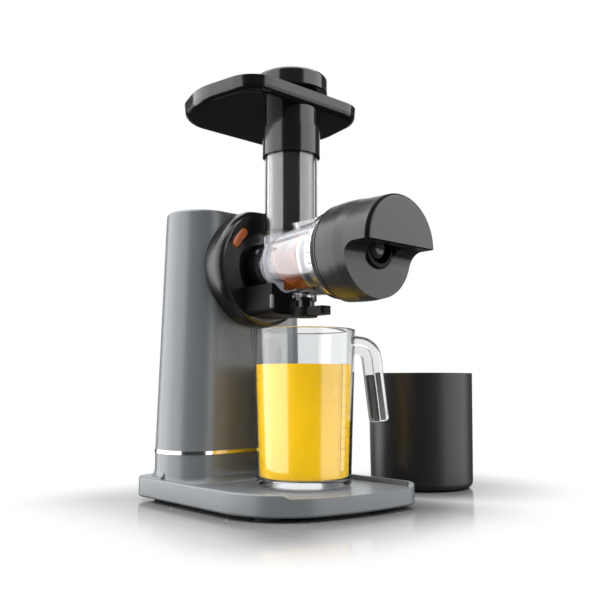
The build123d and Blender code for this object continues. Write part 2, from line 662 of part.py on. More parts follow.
def make_gearbox_plate(x, bearing_bore):
    """Side plate of the gearbox with its bearing seat, pin holes and screw holes."""
    height = plate_top_z - plate_bottom_z
    outline = RectangleRounded(2 * PLATE_HALF_WIDTH, height, 6.0)
    plate = extrude(in_plane_x(outline, x, 0, plate_bottom_z + height / 2), PLATE_THICKNESS)
    plate -= cylinder_x(bearing_bore, x - 1, x + PLATE_THICKNESS + 1)
    for z in (second_axis_z, first_axis_z):
        plate -= cylinder_x(PIN_RADIUS, x - 1, x + PLATE_THICKNESS + 1, 0, z)
    for y, z in post_places():
        plate -= cylinder_x(SCREW_RADIUS + 0.1, x - 1, x + PLATE_THICKNESS + 1, y, z)
    return plate


def make_gearbox_front():
    plate = make_gearbox_plate(plate_front_x, BEARING_RADIUS + RUNNING_GAP)
    for y, z in bezel_screw_places():
        plate -= cylinder_x(SCREW_RADIUS + 0.1, plate_front_x - 1, tower_inner_front_x + 1, y, z)
        plate -= cylinder_x(SCREW_HEAD_RADIUS + 0.2, plate_front_x - 1, bezel_screw_seat_x, y, z)
    return plate


def make_gearbox_rear():
    plate = make_gearbox_plate(plate_rear_x, BEARING_RADIUS + RUNNING_GAP)
    return plate - cylinder_x(MOTOR_BOSS_RADIUS + 0.1, plate_rear_x - 1,
                              plate_rear_x + PLATE_THICKNESS + 1, 0, motor_axis_z)


def make_gearbox_posts():
    posts = Part()
    for y, z in post_places():
        posts += ring_x(POST_RADIUS, SCREW_RADIUS + 0.1, plate_rear_x + PLATE_THICKNESS, plate_front_x,
                        y, z)
    return posts


def make_gearbox_screws():
    """Long screws from the rear plate, through the posts, into the front plate."""
    screws = Part()
    for y, z in post_places():
        head = cylinder_x(3.2, plate_rear_x - 2.4, plate_rear_x, y, z)
        head -= box_between((plate_rear_x - 3, y - 2.3, z - 0.4), (plate_rear_x - 1.4, y + 2.3, z + 0.4))
        screws += head + cylinder_x(SCREW_RADIUS, plate_rear_x - 0.5, tower_inner_front_x - 0.4, y, z)
    return screws


def make_idler_pins():
    pins = Part()
    for z in (second_axis_z, first_axis_z):
        pins += cylinder_x(PIN_RADIUS, plate_rear_x, tower_inner_front_x, 0, z)
    return pins


def make_bearing(x0, x1, outer, inner, z):
    """Ball bearing as two races joined by a thinner shield."""
    middle = (outer + inner) / 2
    gap = (outer - inner) * 0.16
    races = ring_x(outer, middle + gap, x0, x1, 0, z) + ring_x(middle - gap, inner, x0, x1, 0, z)
    shields = ring_x(middle + gap + 0.1, middle - gap - 0.1, x0 + 0.5, x1 - 0.5, 0, z)
    return races + shields


# ---- motor ----
def make_motor_can():
    """Steel can, open at the rear, with the boss that centres it in the gearbox plate."""
    front = plate_rear_x
    can = cylinder_x(MOTOR_RADIUS, MOTOR_REAR_X + 4.0, front, 0, motor_axis_z)
    can -= cylinder_x(MOTOR_RADIUS - MOTOR_WALL, MOTOR_REAR_X, front - MOTOR_WALL, 0, motor_axis_z)
    can += cylinder_x(MOTOR_BOSS_RADIUS, front - 8.0, front + 3.0, 0, motor_axis_z)
    return can - cylinder_x(MOTOR_BEARING_RADIUS, front - 9.0, front + 4.0, 0, motor_axis_z)


def make_motor_magnets():
    """Two curved magnets bonded to the can's wall."""
    x0 = MOTOR_REAR_X + 8.0
    x1 = plate_rear_x - MOTOR_WALL - 4.0
    outer = MOTOR_RADIUS - MOTOR_WALL
    tube = ring_x(outer, ARMATURE_RADIUS + 1.0, x0, x1, 0, motor_axis_z)
    gap = 2 * outer * 0.35
    for side in (-1, 1):
        tube -= box_between((x0 - 1, -gap, motor_axis_z + side * outer - gap / 2 - side * gap * 0.1),
                            (x1 + 1, gap, motor_axis_z + side * outer + gap / 2))
    return tube


def make_motor_end():
    """Rear cover with the bearing seat and two brush holders."""
    x0 = MOTOR_REAR_X
    cover = cylinder_x(MOTOR_RADIUS, x0, x0 + 4.0, 0, motor_axis_z)
    cover += cylinder_x(10.0, x0, x0 + 8.0, 0, motor_axis_z)
    cover -= cylinder_x(MOTOR_BEARING_RADIUS, x0 + 1.5, x0 + 9, 0, motor_axis_z)
    for side in (-1, 1):
        cover += box_between((x0 + 3.5, side * 20 - 5, motor_axis_z - 4),
                             (x0 + 10, side * 20 + 5, motor_axis_z + 4))
    return cover


def make_motor_bearings():
    inner = MOTOR_SHAFT_RADIUS + RUNNING_GAP
    rear = ring_x(MOTOR_BEARING_RADIUS, inner, MOTOR_REAR_X + 1.5, MOTOR_REAR_X + 7.5, 0, motor_axis_z)
    front = ring_x(MOTOR_BEARING_RADIUS, inner, plate_rear_x - 4.0, plate_rear_x + 2.0, 0, motor_axis_z)
    return rear + front


def make_motor_shaft():
    return cylinder_x(MOTOR_SHAFT_RADIUS, MOTOR_REAR_X + 2.0, first_gear_x + FIRST_WIDTH + 0.4,
                      0, motor_axis_z)


def make_armature():
    """Slotted core with its winding ends and commutator."""
    x0 = MOTOR_REAR_X + 13.0
    x1 = plate_rear_x - MOTOR_WALL - 8.0
    core = ring_x(ARMATURE_RADIUS, MOTOR_SHAFT_RADIUS, x0 + 2.5, x1 - 2.5, 0, motor_axis_z)
    for slot in range(12):
        angle = 30 * slot
        notch = Pos(0, 0, ARMATURE_RADIUS - 3) * Box(3 * (x1 - x0), 2.2, 9)
        core -= Pos((x0 + x1) / 2, 0, motor_axis_z) * Rot(angle, 0, 0) * notch
    windings = ring_x(ARMATURE_RADIUS - 5.0, MOTOR_SHAFT_RADIUS, x0, x1, 0, motor_axis_z)
    commutator = ring_x(9.0, MOTOR_SHAFT_RADIUS, x0 - 3.0, x0 + 0.5, 0, motor_axis_z)
    return core + windings + commutator


# ---- drive and drum mount ----
def make_drive_shaft():
    """Round shaft through both bearings, ending in a hexagon that turns the auger."""
    shaft = cylinder_x(SHAFT_RADIUS, plate_rear_x, hex_rear_x)
    hexagon = RegularPolygon(HEX_FLATS / 2, 6, major_radius=False)
    return shaft + extrude(in_plane_x(hexagon, hex_rear_x - 0.5), hex_front_x - hex_rear_x + 0.5)


def make_shaft_seal():
    """Rubber lip seal in the hub, where the drive shaft comes out."""
    return ring_x(SEAL_RADIUS, SHAFT_RADIUS + RUNNING_GAP, socket_x - 4.0, socket_x - 0.5)


def bezel_screw_places():
    """Four screws on a circle about the drum's axis, as (y, z)."""
    return [(BEZEL_SCREW_CIRCLE * cos(radians(a)), DRUM_Z + BEZEL_SCREW_CIRCLE * sin(radians(a)))
            for a in (20, 200, 250, 290)]


def bezel_profile(inset):
    """Outside of the bezel as (x, radius) points, moved inwards by the inset."""
    front = BEZEL_FRONT_X - inset
    side = BEZEL_RADIUS - inset
    drop = BEZEL_RADIUS - BEZEL_FACE_RADIUS
    arc = [(front - BEZEL_ROUNDING * (1 - sin(radians(a))), side - drop * (1 - cos(radians(a))))
           for a in (0, 15, 30, 45, 60, 75, 90)]
    return [(bezel_rear_x, side)] + arc


def make_bezel():
    """Black collar on the tower's front: a rounded skirt, a face and a recess around the hub."""
    floor_x = BEZEL_FRONT_X - BEZEL_RECESS
    hollow_radius = BEZEL_BORE_RADIUS + BEZEL_WALL
    outer = turned_x(bezel_profile(0) + [(BEZEL_FRONT_X, BEZEL_BORE_RADIUS), (floor_x, BEZEL_BORE_RADIUS - 1),
                                         (floor_x, hub_radius + RUNNING_GAP),
                                         (bezel_rear_x, hub_radius + RUNNING_GAP)])
    hollow = turned_x([(bezel_rear_x - 1, BEZEL_RADIUS - BEZEL_WALL)] + bezel_profile(BEZEL_WALL)[1:]
                      + [(BEZEL_FRONT_X - BEZEL_WALL, hollow_radius),
                         (floor_x - BEZEL_WALL, hollow_radius - 1), (floor_x - BEZEL_WALL, hub_radius - 1),
                         (bezel_rear_x - 1, hub_radius - 1)])
    bezel = outer - hollow
    for y, z in bezel_screw_places():
        bezel += cylinder_x(4.5, TOWER_FRONT_X, BEZEL_FRONT_X - BEZEL_WALL + 0.5, y, z)
        bezel -= cylinder_x(SCREW_RADIUS, TOWER_FRONT_X - 1, TOWER_FRONT_X + 12, y, z)
    bezel -= tower_solid(0, PLINTH_TOP_Z, TOWER_TOP_Z + 20)
    half = BEZEL_RADIUS + 1
    above = DRUM_Z + 2 * BEZEL_RADIUS
    bezel -= box_between((bezel_rear_x - 1, -half, TOWER_TOP_Z - TOWER_EDGE_RADIUS),
                         (TOWER_FRONT_X, half, above))
    bezel -= box_between((bezel_rear_x - 1, -half, TOWER_TOP_Z - 0.5), (BEZEL_FRONT_X + 1, half, above))
    return bezel - release_prism(RELEASE_WIDTH + 2 * SLIDING_GAP, BEZEL_FRONT_X - 12, BEZEL_FRONT_X + 2)


def make_bezel_screws():
    screws = Part()
    for y, z in bezel_screw_places():
        head = cylinder_x(SCREW_HEAD_RADIUS, plate_front_x, bezel_screw_seat_x, y, z)
        head -= box_between((plate_front_x - 1, y - 2.2, z - 0.4), (plate_front_x + 1.0, y + 2.2, z + 0.4))
        screws += head + cylinder_x(SCREW_RADIUS, bezel_screw_seat_x - 0.5, TOWER_FRONT_X + 11.0, y, z)
    return screws


def make_drive_hub():
    """Fixed socket that the drum's neck plugs into."""
    hub = turned_x([(TOWER_FRONT_X, SHAFT_RADIUS + 1.0), (TOWER_FRONT_X, hub_radius),
                    (HUB_FRONT_X - 1.5, hub_radius), (HUB_FRONT_X, hub_radius - 1.5),
                    (HUB_FRONT_X, NECK_RADIUS + SLIDING_GAP), (socket_x, NECK_RADIUS + SLIDING_GAP),
                    (socket_x, SEAL_RADIUS + 0.05), (socket_x - 4.0, SEAL_RADIUS + 0.05),
                    (socket_x - 4.0, SHAFT_RADIUS + 1.0)])
    for side in (-1, 1):
        hub -= cylinder_x(4.0, HUB_FRONT_X - 7.0, HUB_FRONT_X + 1, side * (NECK_RADIUS + 0.5))
    return hub - cylinder_z(TUBE_RADIUS + RUNNING_GAP, DRUM_Z, COLLAR_BOTTOM_Z)


def make_drum_cradle():
    """Bracket under the drum, hollowed to the drum's curve."""
    depth = CRADLE_FRONT_X - BEZEL_FRONT_X
    profile = RectangleRounded(2 * CRADLE_HALF_WIDTH, 2 * (DRUM_Z - CRADLE_BOTTOM_Z), 7.0)
    block = extrude(in_plane_x(profile, BEZEL_FRONT_X), depth)
    block &= box_between((BEZEL_FRONT_X, -50, 100), (CRADLE_FRONT_X, 50, DRUM_Z - 22))
    block -= cylinder_x(CHAMBER_REAR_RADIUS + 1.2, BEZEL_FRONT_X + 4, CRADLE_FRONT_X + 1)
    block -= cylinder_x(hub_radius + 0.6, BEZEL_FRONT_X - 1, BEZEL_FRONT_X + 8)
    return block


def release_prism(width, x0, x1):
    """Curved pill about the drum's axis, used for the button and for its slot."""
    half = RELEASE_ARC / 2
    outer = Circle(RELEASE_RADIUS + width / 2) - Circle(RELEASE_RADIUS - width / 2)
    start = radians(RELEASE_ANGLE - half)
    stop = radians(RELEASE_ANGLE + half)
    far = 3 * RELEASE_RADIUS
    wedge = make_face(Polyline((0, 0), (far * cos(start), far * sin(start)),
                               (far * cos(radians(RELEASE_ANGLE)), far * sin(radians(RELEASE_ANGLE))),
                               (far * cos(stop), far * sin(stop)), close=True))
    pill = outer & wedge
    for angle in (start, stop):
        pill += Pos(RELEASE_RADIUS * cos(angle), RELEASE_RADIUS * sin(angle)) * Circle(width / 2)
    return extrude(in_plane_x(pill, x0), x1 - x0)


def make_release_button():
    """Curved amber button that unlocks the drum, with a lip behind the bezel's face that keeps it in."""
    x1 = BEZEL_FRONT_X + RELEASE_STANDOUT
    button = release_prism(RELEASE_WIDTH, x1 - RELEASE_DEPTH, x1)
    button = chamfer(button.faces().sort_by(Axis.X)[-1].outer_wire().edges(), 0.5)
    lip_x = BEZEL_FRONT_X - BEZEL_WALL - RUNNING_GAP
    return button + release_prism(RELEASE_WIDTH + 4 * SLIDING_GAP, lip_x - 2.0, lip_x)


def make_release_spring():
    """Coil spring between the tower's front wall and the release button, as long as when pressed."""
    y = RELEASE_RADIUS * cos(radians(RELEASE_ANGLE))
    z = DRUM_Z + RELEASE_RADIUS * sin(radians(RELEASE_ANGLE))
    button_rear_x = BEZEL_FRONT_X + RELEASE_STANDOUT - RELEASE_DEPTH
    length = button_rear_x - RELEASE_TRAVEL - TOWER_FRONT_X - 2 * SPRING_WIRE - 0.2
    path = Helix(length / 7, length, 3.2)
    wire = sweep(Plane(path @ 0, z_dir=path % 0) * Circle(SPRING_WIRE), path=path)
    return Pos(TOWER_FRONT_X + SPRING_WIRE, y, z) * Rot(0, 90, 0) * wire


# ---- drum ----
def chamber_radius(x):
    """Outside radius of the chamber's tapered body at x."""
    share = (x - SHOULDER_X) / (CHAMBER_FRONT_X - SHOULDER_X)
    return CHAMBER_REAR_RADIUS + share * (CHAMBER_FRONT_RADIUS - CHAMBER_REAR_RADIUS)


def make_chamber():
    """Clear juicing chamber: neck, tapered body, flange, spigot, feed tube and outlet boss."""
    flange_end = FLANGE_X + FLANGE_THICKNESS
    spigot_end = CAP_REAR_X + SPIGOT_LENGTH
    shoulder = [(SHOULDER_X - 7.0, NECK_RADIUS), (SHOULDER_X - 3.0, NECK_RADIUS + 5.5),
                (SHOULDER_X, CHAMBER_REAR_RADIUS - 2.5), (SHOULDER_X + 4.0, chamber_radius(SHOULDER_X + 4.0))]
    outer = [(neck_rear_x, 0), (neck_rear_x, NECK_RADIUS)] + shoulder
    outer += [(FLANGE_X - 3.0, chamber_radius(FLANGE_X - 3.0)), (FLANGE_X, flange_radius),
              (flange_end, flange_radius), (flange_end, spigot_radius), (spigot_end, spigot_radius),
              (spigot_end, 0)]
    solid = turned_x(outer)
    solid += cylinder_z(TUBE_RADIUS, DRUM_Z, TUBE_TOP_Z)
    rail = box_between((SHOULDER_X + 8, -3.0, DRUM_Z),
                       (FLANGE_X + 2, 3.0, DRUM_Z + CHAMBER_FRONT_RADIUS + 2.2))
    solid += Pos(0, 0, DRUM_Z) * Rot(22, 0, 0) * Pos(0, 0, -DRUM_Z) * rail
    solid += cylinder_z(NOZZLE_RADIUS + 3.0, DRUM_Z - chamber_radius(NOZZLE_X) - 2.5, DRUM_Z, NOZZLE_X)
    wall = CHAMBER_WALL
    cavity_rear = SHOULDER_X + wall
    inner = [(neck_rear_x - 1, 0), (neck_rear_x - 1, neck_bore_radius), (cavity_rear, neck_bore_radius),
             (cavity_rear + 1.5, chamber_radius(cavity_rear) - wall),
             (FLANGE_X, chamber_radius(FLANGE_X) - wall), (spigot_end + 1, spigot_radius - wall),
             (spigot_end + 1, 0)]
    solid -= turned_x(inner)
    solid -= cylinder_z(tube_bore_radius, DRUM_Z, TUBE_TOP_Z + 1)
    return solid - cylinder_z(NOZZLE_RADIUS - 3.0, DRUM_Z - 60, DRUM_Z, NOZZLE_X)


def make_chamber_seal():
    """Silicone ring in the neck's bore, around the auger's rear boss."""
    x0 = neck_rear_x + 5.0
    return ring_x(neck_bore_radius, auger_boss_radius + RUNNING_GAP, x0, x0 + 3.0)


def auger_envelope():
    """Solid of revolution that the auger's flights are cut to."""
    return turned_x([(AUGER_REAR_X, 0), (AUGER_REAR_X, auger_radius - 1.5), (AUGER_REAR_X + 2, auger_radius),
                     (AUGER_TAPER_X, auger_radius), (AUGER_FRONT_X, auger_front_radius), (AUGER_FRONT_X, 0)])


def make_auger():
    """Screw with two flights on a core, and the boss with the hexagonal socket at its rear."""
    length = AUGER_FRONT_X - AUGER_REAR_X
    section = Rectangle(2 * auger_radius + 2, AUGER_FIN) + Circle(AUGER_CORE_RADIUS)
    screw = Solid.extrude_linear_with_rotation(section.face(), (0, 0, 0), (0, 0, length),
                                               360 * AUGER_TURNS)
    screw = Pos(AUGER_REAR_X, 0, DRUM_Z) * Rot(0, 90, 0) * screw
    auger = Part() + screw
    auger &= auger_envelope()
    auger += cylinder_x(auger_boss_radius, auger_boss_x, AUGER_REAR_X + 2.0)
    cone_end = AUGER_REAR_X + AUGER_CONE_LENGTH
    auger += turned_x([(AUGER_REAR_X, 0), (AUGER_REAR_X, AUGER_CONE_RADIUS), (cone_end, AUGER_CORE_RADIUS),
                       (cone_end, 0)])
    socket = RegularPolygon(HEX_FLATS / 2 + SLIDING_GAP / 2, 6, major_radius=False)
    auger -= extrude(in_plane_x(socket, auger_boss_x - 1), hex_front_x - auger_boss_x + 2.0)
    return auger - cylinder_x(AUGER_PIN_RADIUS, AUGER_FRONT_X - 14, AUGER_FRONT_X + 1)


def make_auger_tip():
    """Grey metal nose pressed into the auger's front end."""
    pin_x = AUGER_FRONT_X - 13
    return turned_x([(pin_x, 0), (pin_x, AUGER_PIN_RADIUS), (AUGER_FRONT_X, AUGER_PIN_RADIUS),
                     (AUGER_FRONT_X, AUGER_TIP_RADIUS), (AUGER_TIP_X - 4.0, AUGER_TIP_RADIUS - 1.5),
                     (AUGER_TIP_X - 1.0, AUGER_TIP_RADIUS - 4.5), (AUGER_TIP_X, AUGER_TIP_RADIUS - 8.0),
                     (AUGER_TIP_X, 0)])


def strainer_radius(x):
    """Outside radius of the strainer, which sits inside the spigot and narrows with the auger."""
    share = (x - STRAINER_REAR_X) / (STRAINER_FRONT_X - STRAINER_REAR_X)
    rear = auger_radius + STRAINER_GAP + STRAINER_WALL
    front = auger_front_radius + STRAINER_GAP + STRAINER_WALL + 0.4
    return rear + share * (front - rear)


def make_strainer():
    """Slotted cone around the auger's front half, with a rim that seats in the chamber."""
    rear = STRAINER_REAR_X
    front = STRAINER_FRONT_X
    wall = STRAINER_WALL
    rim = chamber_radius(rear) - CHAMBER_WALL - 0.1
    cone = turned_x([(rear, strainer_radius(rear) - wall), (rear, rim), (rear + 3.0, rim),
                     (rear + 3.0, strainer_radius(rear)), (front, strainer_radius(front)),
                     (front, OUTLET_BORE_RADIUS), (front - 2.0, OUTLET_BORE_RADIUS),
                     (front - 2.0, strainer_radius(front) - wall)])
    for i in range(STRAINER_SLOTS):
        slot = box_between((rear + 9, -0.8, 10), (front - 9, 0.8, 50))
        cone -= Pos(0, 0, DRUM_Z) * Rot(360 * i / STRAINER_SLOTS, 0, 0) * slot
    return cone


def make_end_cap():
    """Screw-on cap that narrows into a hood over the pulp outlet."""
    outer = turned_x([(CAP_REAR_X, 0), (CAP_REAR_X, cap_rear_radius - 1.0),
                      (CAP_REAR_X + 1.0, cap_rear_radius), (CAP_REAR_X + 16.0, cap_middle_radius),
                      (CAP_REAR_X + 26.0, cap_middle_radius), (CAP_FACE_X, cap_face_radius),
                      (HOOD_FRONT_X, cap_front_radius), (HOOD_FRONT_X, 0)])
    outer = fillet(outer.edges().filter_by(GeomType.CIRCLE).sort_by(Axis.X)[-1], CAP_EDGE_RADIUS)
    ahead_x = HOOD_FRONT_X + 20
    below_z = DRUM_Z - 80
    face = Line((CAP_FACE_X, below_z), (CAP_FACE_X, DRUM_Z - HOOD_FILLET))
    bend = JernArc((CAP_FACE_X, DRUM_Z - HOOD_FILLET), (0, 1), HOOD_FILLET, -90)
    rest = Polyline((CAP_FACE_X + HOOD_FILLET, DRUM_Z), (ahead_x, DRUM_Z), (ahead_x, below_z),
                    (CAP_FACE_X, below_z))
    notch = Plane.XZ * make_face(Curve() + [face, bend, rest])
    outer -= extrude(notch, 100, both=True)
    outer -= cylinder_x(OUTLET_RING_RADIUS + RUNNING_GAP, CAP_REAR_X, CAP_FACE_X + HOOD_FILLET + 3)
    inner_face = CAP_FACE_X - CAP_FACE_THICKNESS
    bore = turned_x([(CAP_REAR_X - 1, 0), (CAP_REAR_X - 1, spigot_radius + SLIDING_GAP),
                     (inner_face - 8.0, spigot_radius + SLIDING_GAP), (inner_face, spigot_radius - 8.0),
                     (inner_face, 0)])
    return outer - bore


def make_cap_seal():
    """Flat silicone ring between the flange and the cap."""
    x0 = FLANGE_X + FLANGE_THICKNESS + 0.1
    return ring_x(flange_radius - 0.5, spigot_radius + RUNNING_GAP, x0, min(x0 + 2.5, CAP_REAR_X - 0.5))


def make_outlet_ring():
    """Black collar that the dry pulp is pushed out through."""
    rear = STRAINER_FRONT_X + 0.4
    front = CAP_FACE_X + OUTLET_STANDOUT
    flange_x = CAP_FACE_X - CAP_FACE_THICKNESS - RUNNING_GAP
    return turned_x([(rear, OUTLET_BORE_RADIUS + 0.8), (rear, OUTLET_RING_RADIUS + 3.0),
                     (flange_x, OUTLET_RING_RADIUS + 3.0), (flange_x, OUTLET_RING_RADIUS),
                     (front - 1.2, OUTLET_RING_RADIUS), (front, OUTLET_RING_RADIUS - 1.2),
                     (front, OUTLET_BORE_RADIUS)])


# ---- juice outlet ----
def make_outlet_nozzle():
    """Black nozzle under the chamber, with its juice hole off the middle."""
    top = DRUM_Z - chamber_radius(NOZZLE_X) - 2.5
    nozzle = cylinder_z(NOZZLE_RADIUS, NOZZLE_BOTTOM_Z, top, NOZZLE_X)
    nozzle += cylinder_z(NOZZLE_RADIUS + 3.0, top - 3.0, top, NOZZLE_X)
    return nozzle - cylinder_z(NOZZLE_BORE_RADIUS, NOZZLE_BOTTOM_Z - 1, top + 1, NOZZLE_X,
                               -NOZZLE_BORE_OFFSET / 2)


def make_drip_lever():
    """Rotary shut-off: a shallow cup around the nozzle with one hole, and a flat tab to push."""
    bottom = NOZZLE_BOTTOM_Z - SEAT_GAP - LEVER_FLOOR
    lever = cylinder_z(LEVER_RING_RADIUS, bottom, bottom + LEVER_HEIGHT, NOZZLE_X)
    tab = box_between((NOZZLE_X + 6, -LEVER_TAB_WIDTH / 2, bottom + 1.0),
                      (LEVER_TAB_X, LEVER_TAB_WIDTH / 2, bottom + LEVER_HEIGHT))
    tab = fillet(tab.edges().filter_by(Axis.Z).sort_by(Axis.X)[-2:], 3.0)
    lever += tab
    lever -= cylinder_z(NOZZLE_RADIUS + SLIDING_GAP, NOZZLE_BOTTOM_Z - SEAT_GAP, bottom + 30, NOZZLE_X)
    angle = radians(-90 - LEVER_ANGLE)
    reach = NOZZLE_BORE_OFFSET / 2
    return lever - cylinder_z(NOZZLE_BORE_RADIUS - 1.2, bottom - 1, bottom + 20,
                              NOZZLE_X + reach * cos(angle), reach * sin(angle))


# ---- hopper and tamper ----
def hopper_outline(offset=0.0):
    """Plan of the hopper: a shield shape, widest towards the rear."""
    corners = [(hopper_front_x, -HOPPER_FRONT_HALF_WIDTH), (hopper_front_x, HOPPER_FRONT_HALF_WIDTH),
               (HOPPER_WIDEST_X, HOPPER_HALF_WIDTH), (HOPPER_REAR_X, HOPPER_REAR_HALF_WIDTH),
               (HOPPER_REAR_X, -HOPPER_REAR_HALF_WIDTH), (HOPPER_WIDEST_X, -HOPPER_HALF_WIDTH)]
    radii = [30.0, 30.0, 70.0, 40.0, 40.0, 70.0]
    path = FilletPolyline(*corners, radius=radii, close=True)
    face = make_face(path)
    if offset:
        face = offset_face(face, offset)
    return face


def offset_face(face, amount):
    return make_face(offset(face.wire(), amount, kind=Kind.ARC))


def make_hopper():
    """Tray with flared walls and the collar that slips over the feed tube."""
    outer = loft([at_height(hopper_outline(), HOPPER_BOTTOM_Z),
                  at_height(hopper_outline(HOPPER_FLARE), HOPPER_RIM_Z)], ruled=True)
    outer = fillet(outer.edges().group_by(Axis.Z)[0], HOPPER_EDGE_RADIUS)
    floor_z = HOPPER_BOTTOM_Z + HOPPER_WALL
    inner = loft([at_height(hopper_outline(-HOPPER_WALL), floor_z),
                  at_height(hopper_outline(HOPPER_FLARE - HOPPER_WALL + 0.6), HOPPER_RIM_Z + 0.6)],
                 ruled=True)
    inner = fillet(inner.edges().group_by(Axis.Z)[0], HOPPER_INNER_RADIUS)
    tray = outer - inner
    tray += cylinder_z(TUBE_RADIUS + 0.6, COLLAR_STEP_Z - 0.5, HOPPER_BOTTOM_Z + 1.0)
    tray += cylinder_z(collar_radius, COLLAR_BOTTOM_Z, COLLAR_STEP_Z)
    tray -= cylinder_z(TUBE_RADIUS + SLIDING_GAP, COLLAR_BOTTOM_Z - 1, TUBE_TOP_Z + SEAT_GAP)
    return tray - cylinder_z(tube_bore_radius, TUBE_TOP_Z - 1, HOPPER_RIM_Z + 10)


def make_tamper_stem():
    """Hollow pusher that fills the feed tube."""
    stem = cylinder_z(tamper_radius, TAMPER_BOTTOM_Z, TAMPER_CAP_Z + 2.0)
    stem = fillet(stem.edges().group_by(Axis.Z)[0], 3.0)
    return stem - cylinder_z(tamper_radius - TAMPER_WALL, TAMPER_BOTTOM_Z + TAMPER_WALL, TAMPER_CAP_Z + 3.0)


def make_tamper_cap():
    """Round knob of the pusher, with the neck under it that rests in the hopper."""
    cap = cylinder_z(TAMPER_CAP_RADIUS, TAMPER_CAP_Z, TAMPER_CAP_TOP_Z)
    cap = fillet(cap.edges().group_by(Axis.Z)[-1], 3.5)
    cap = chamfer(cap.edges().group_by(Axis.Z)[0], 1.0)
    cap += cylinder_z(tamper_neck_radius, TAMPER_NECK_Z, TAMPER_CAP_Z + 1.0)
    return cap - cylinder_z(tamper_radius + RUNNING_GAP, TAMPER_NECK_Z - 1, TAMPER_CAP_Z + 2.0)


# ---- jug and cup ----
def jug_radius(z):
    share = (z - jug_floor_z) / (JUG_RIM_Z - jug_floor_z)
    return JUG_BOTTOM_RADIUS + share * (JUG_RIM_RADIUS - JUG_BOTTOM_RADIUS)


def spout_cone(inset):
    """Cone leaning out of the rim on the side away from the handle."""
    low_z = JUG_RIM_Z - SPOUT_HEIGHT
    reach = JUG_RIM_RADIUS + SPOUT_REACH - SPOUT_RADIUS
    low = Pos(jug_radius(low_z) - 4.0, 0, low_z) * Circle(2.5 - min(inset, 2.0))
    high = Pos(reach, 0, JUG_RIM_Z) * Circle(SPOUT_RADIUS - inset)
    return Rot(0, 0, HANDLE_ANGLE + 180) * loft([low, high], ruled=True)


def make_jug():
    """Clear jug with a thick floor and a pouring lip."""
    edge = JUG_EDGE_RADIUS
    bottom = jug_floor_z
    wall = JUG_WALL
    outer = turned_z([(0, bottom), (JUG_BOTTOM_RADIUS - edge, bottom),
                      (JUG_BOTTOM_RADIUS - edge * 0.3, bottom + edge * 0.3),
                      (JUG_BOTTOM_RADIUS, bottom + edge), (JUG_RIM_RADIUS, JUG_RIM_Z), (0, JUG_RIM_Z)])
    outer += spout_cone(0)
    floor_z = bottom + JUG_FLOOR
    inner = turned_z([(0, floor_z), (jug_radius(floor_z) - wall - 2.5, floor_z),
                      (jug_radius(floor_z) - wall, floor_z + 3.0),
                      (jug_radius(JUG_RIM_Z) - wall, JUG_RIM_Z + 1.0), (0, JUG_RIM_Z + 1.0)])
    jug = outer - inner - spout_cone(wall)
    return Pos(JUG_X, JUG_Y, 0) * jug


def make_jug_handle():
    """Hook handle, joined at the rim and open at the bottom."""
    start = (jug_radius(HANDLE_TOP_Z) - 0.5, HANDLE_TOP_Z)
    corner = (JUG_RIM_RADIUS + HANDLE_TOP_REACH, HANDLE_TOP_Z - 2.0)
    end = (JUG_RIM_RADIUS + HANDLE_BOTTOM_REACH, HANDLE_BOTTOM_Z)
    path = Plane.XZ * FilletPolyline(start, corner, end, radius=HANDLE_BEND)
    across = Plane(path @ 0, x_dir=(0, 1, 0), z_dir=path % 0)
    handle = sweep(across * RectangleRounded(HANDLE_WIDTH, HANDLE_DEPTH, 3.0), path=path)
    seat = turned_z([(0, HANDLE_TOP_Z - 20), (jug_radius(HANDLE_TOP_Z - 20), HANDLE_TOP_Z - 20),
                     (jug_radius(JUG_RIM_Z), JUG_RIM_Z), (0, JUG_RIM_Z)])
    return Pos(JUG_X, JUG_Y, 0) * Rot(0, 0, HANDLE_ANGLE) * (handle - seat)


def make_pulp_cup():
    """Plain round cup with a rounded bottom edge, standing beside the base."""
    def shape(inset):
        bottom = inset
        rim = CUP_HEIGHT + (1.0 if inset else 0.0)
        radius = CUP_EDGE_RADIUS - inset
        side = Line((CUP_BOTTOM_RADIUS - inset, bottom + radius), (CUP_RIM_RADIUS - inset, rim))
        bend = JernArc((CUP_BOTTOM_RADIUS - inset - radius, bottom), (1, 0), radius, 90)
        floor = Line((0, bottom), (CUP_BOTTOM_RADIUS - inset - radius, bottom))
        lid = Polyline((CUP_RIM_RADIUS - inset, rim), (0, rim), (0, bottom))
        face = make_face(Curve() + [floor, bend, side, lid])
        return revolve(Plane.XZ * face, Axis.Z)
    return Pos(CUP_X, CUP_Y, 0) * (shape(0.0) - shape(CUP_WALL))


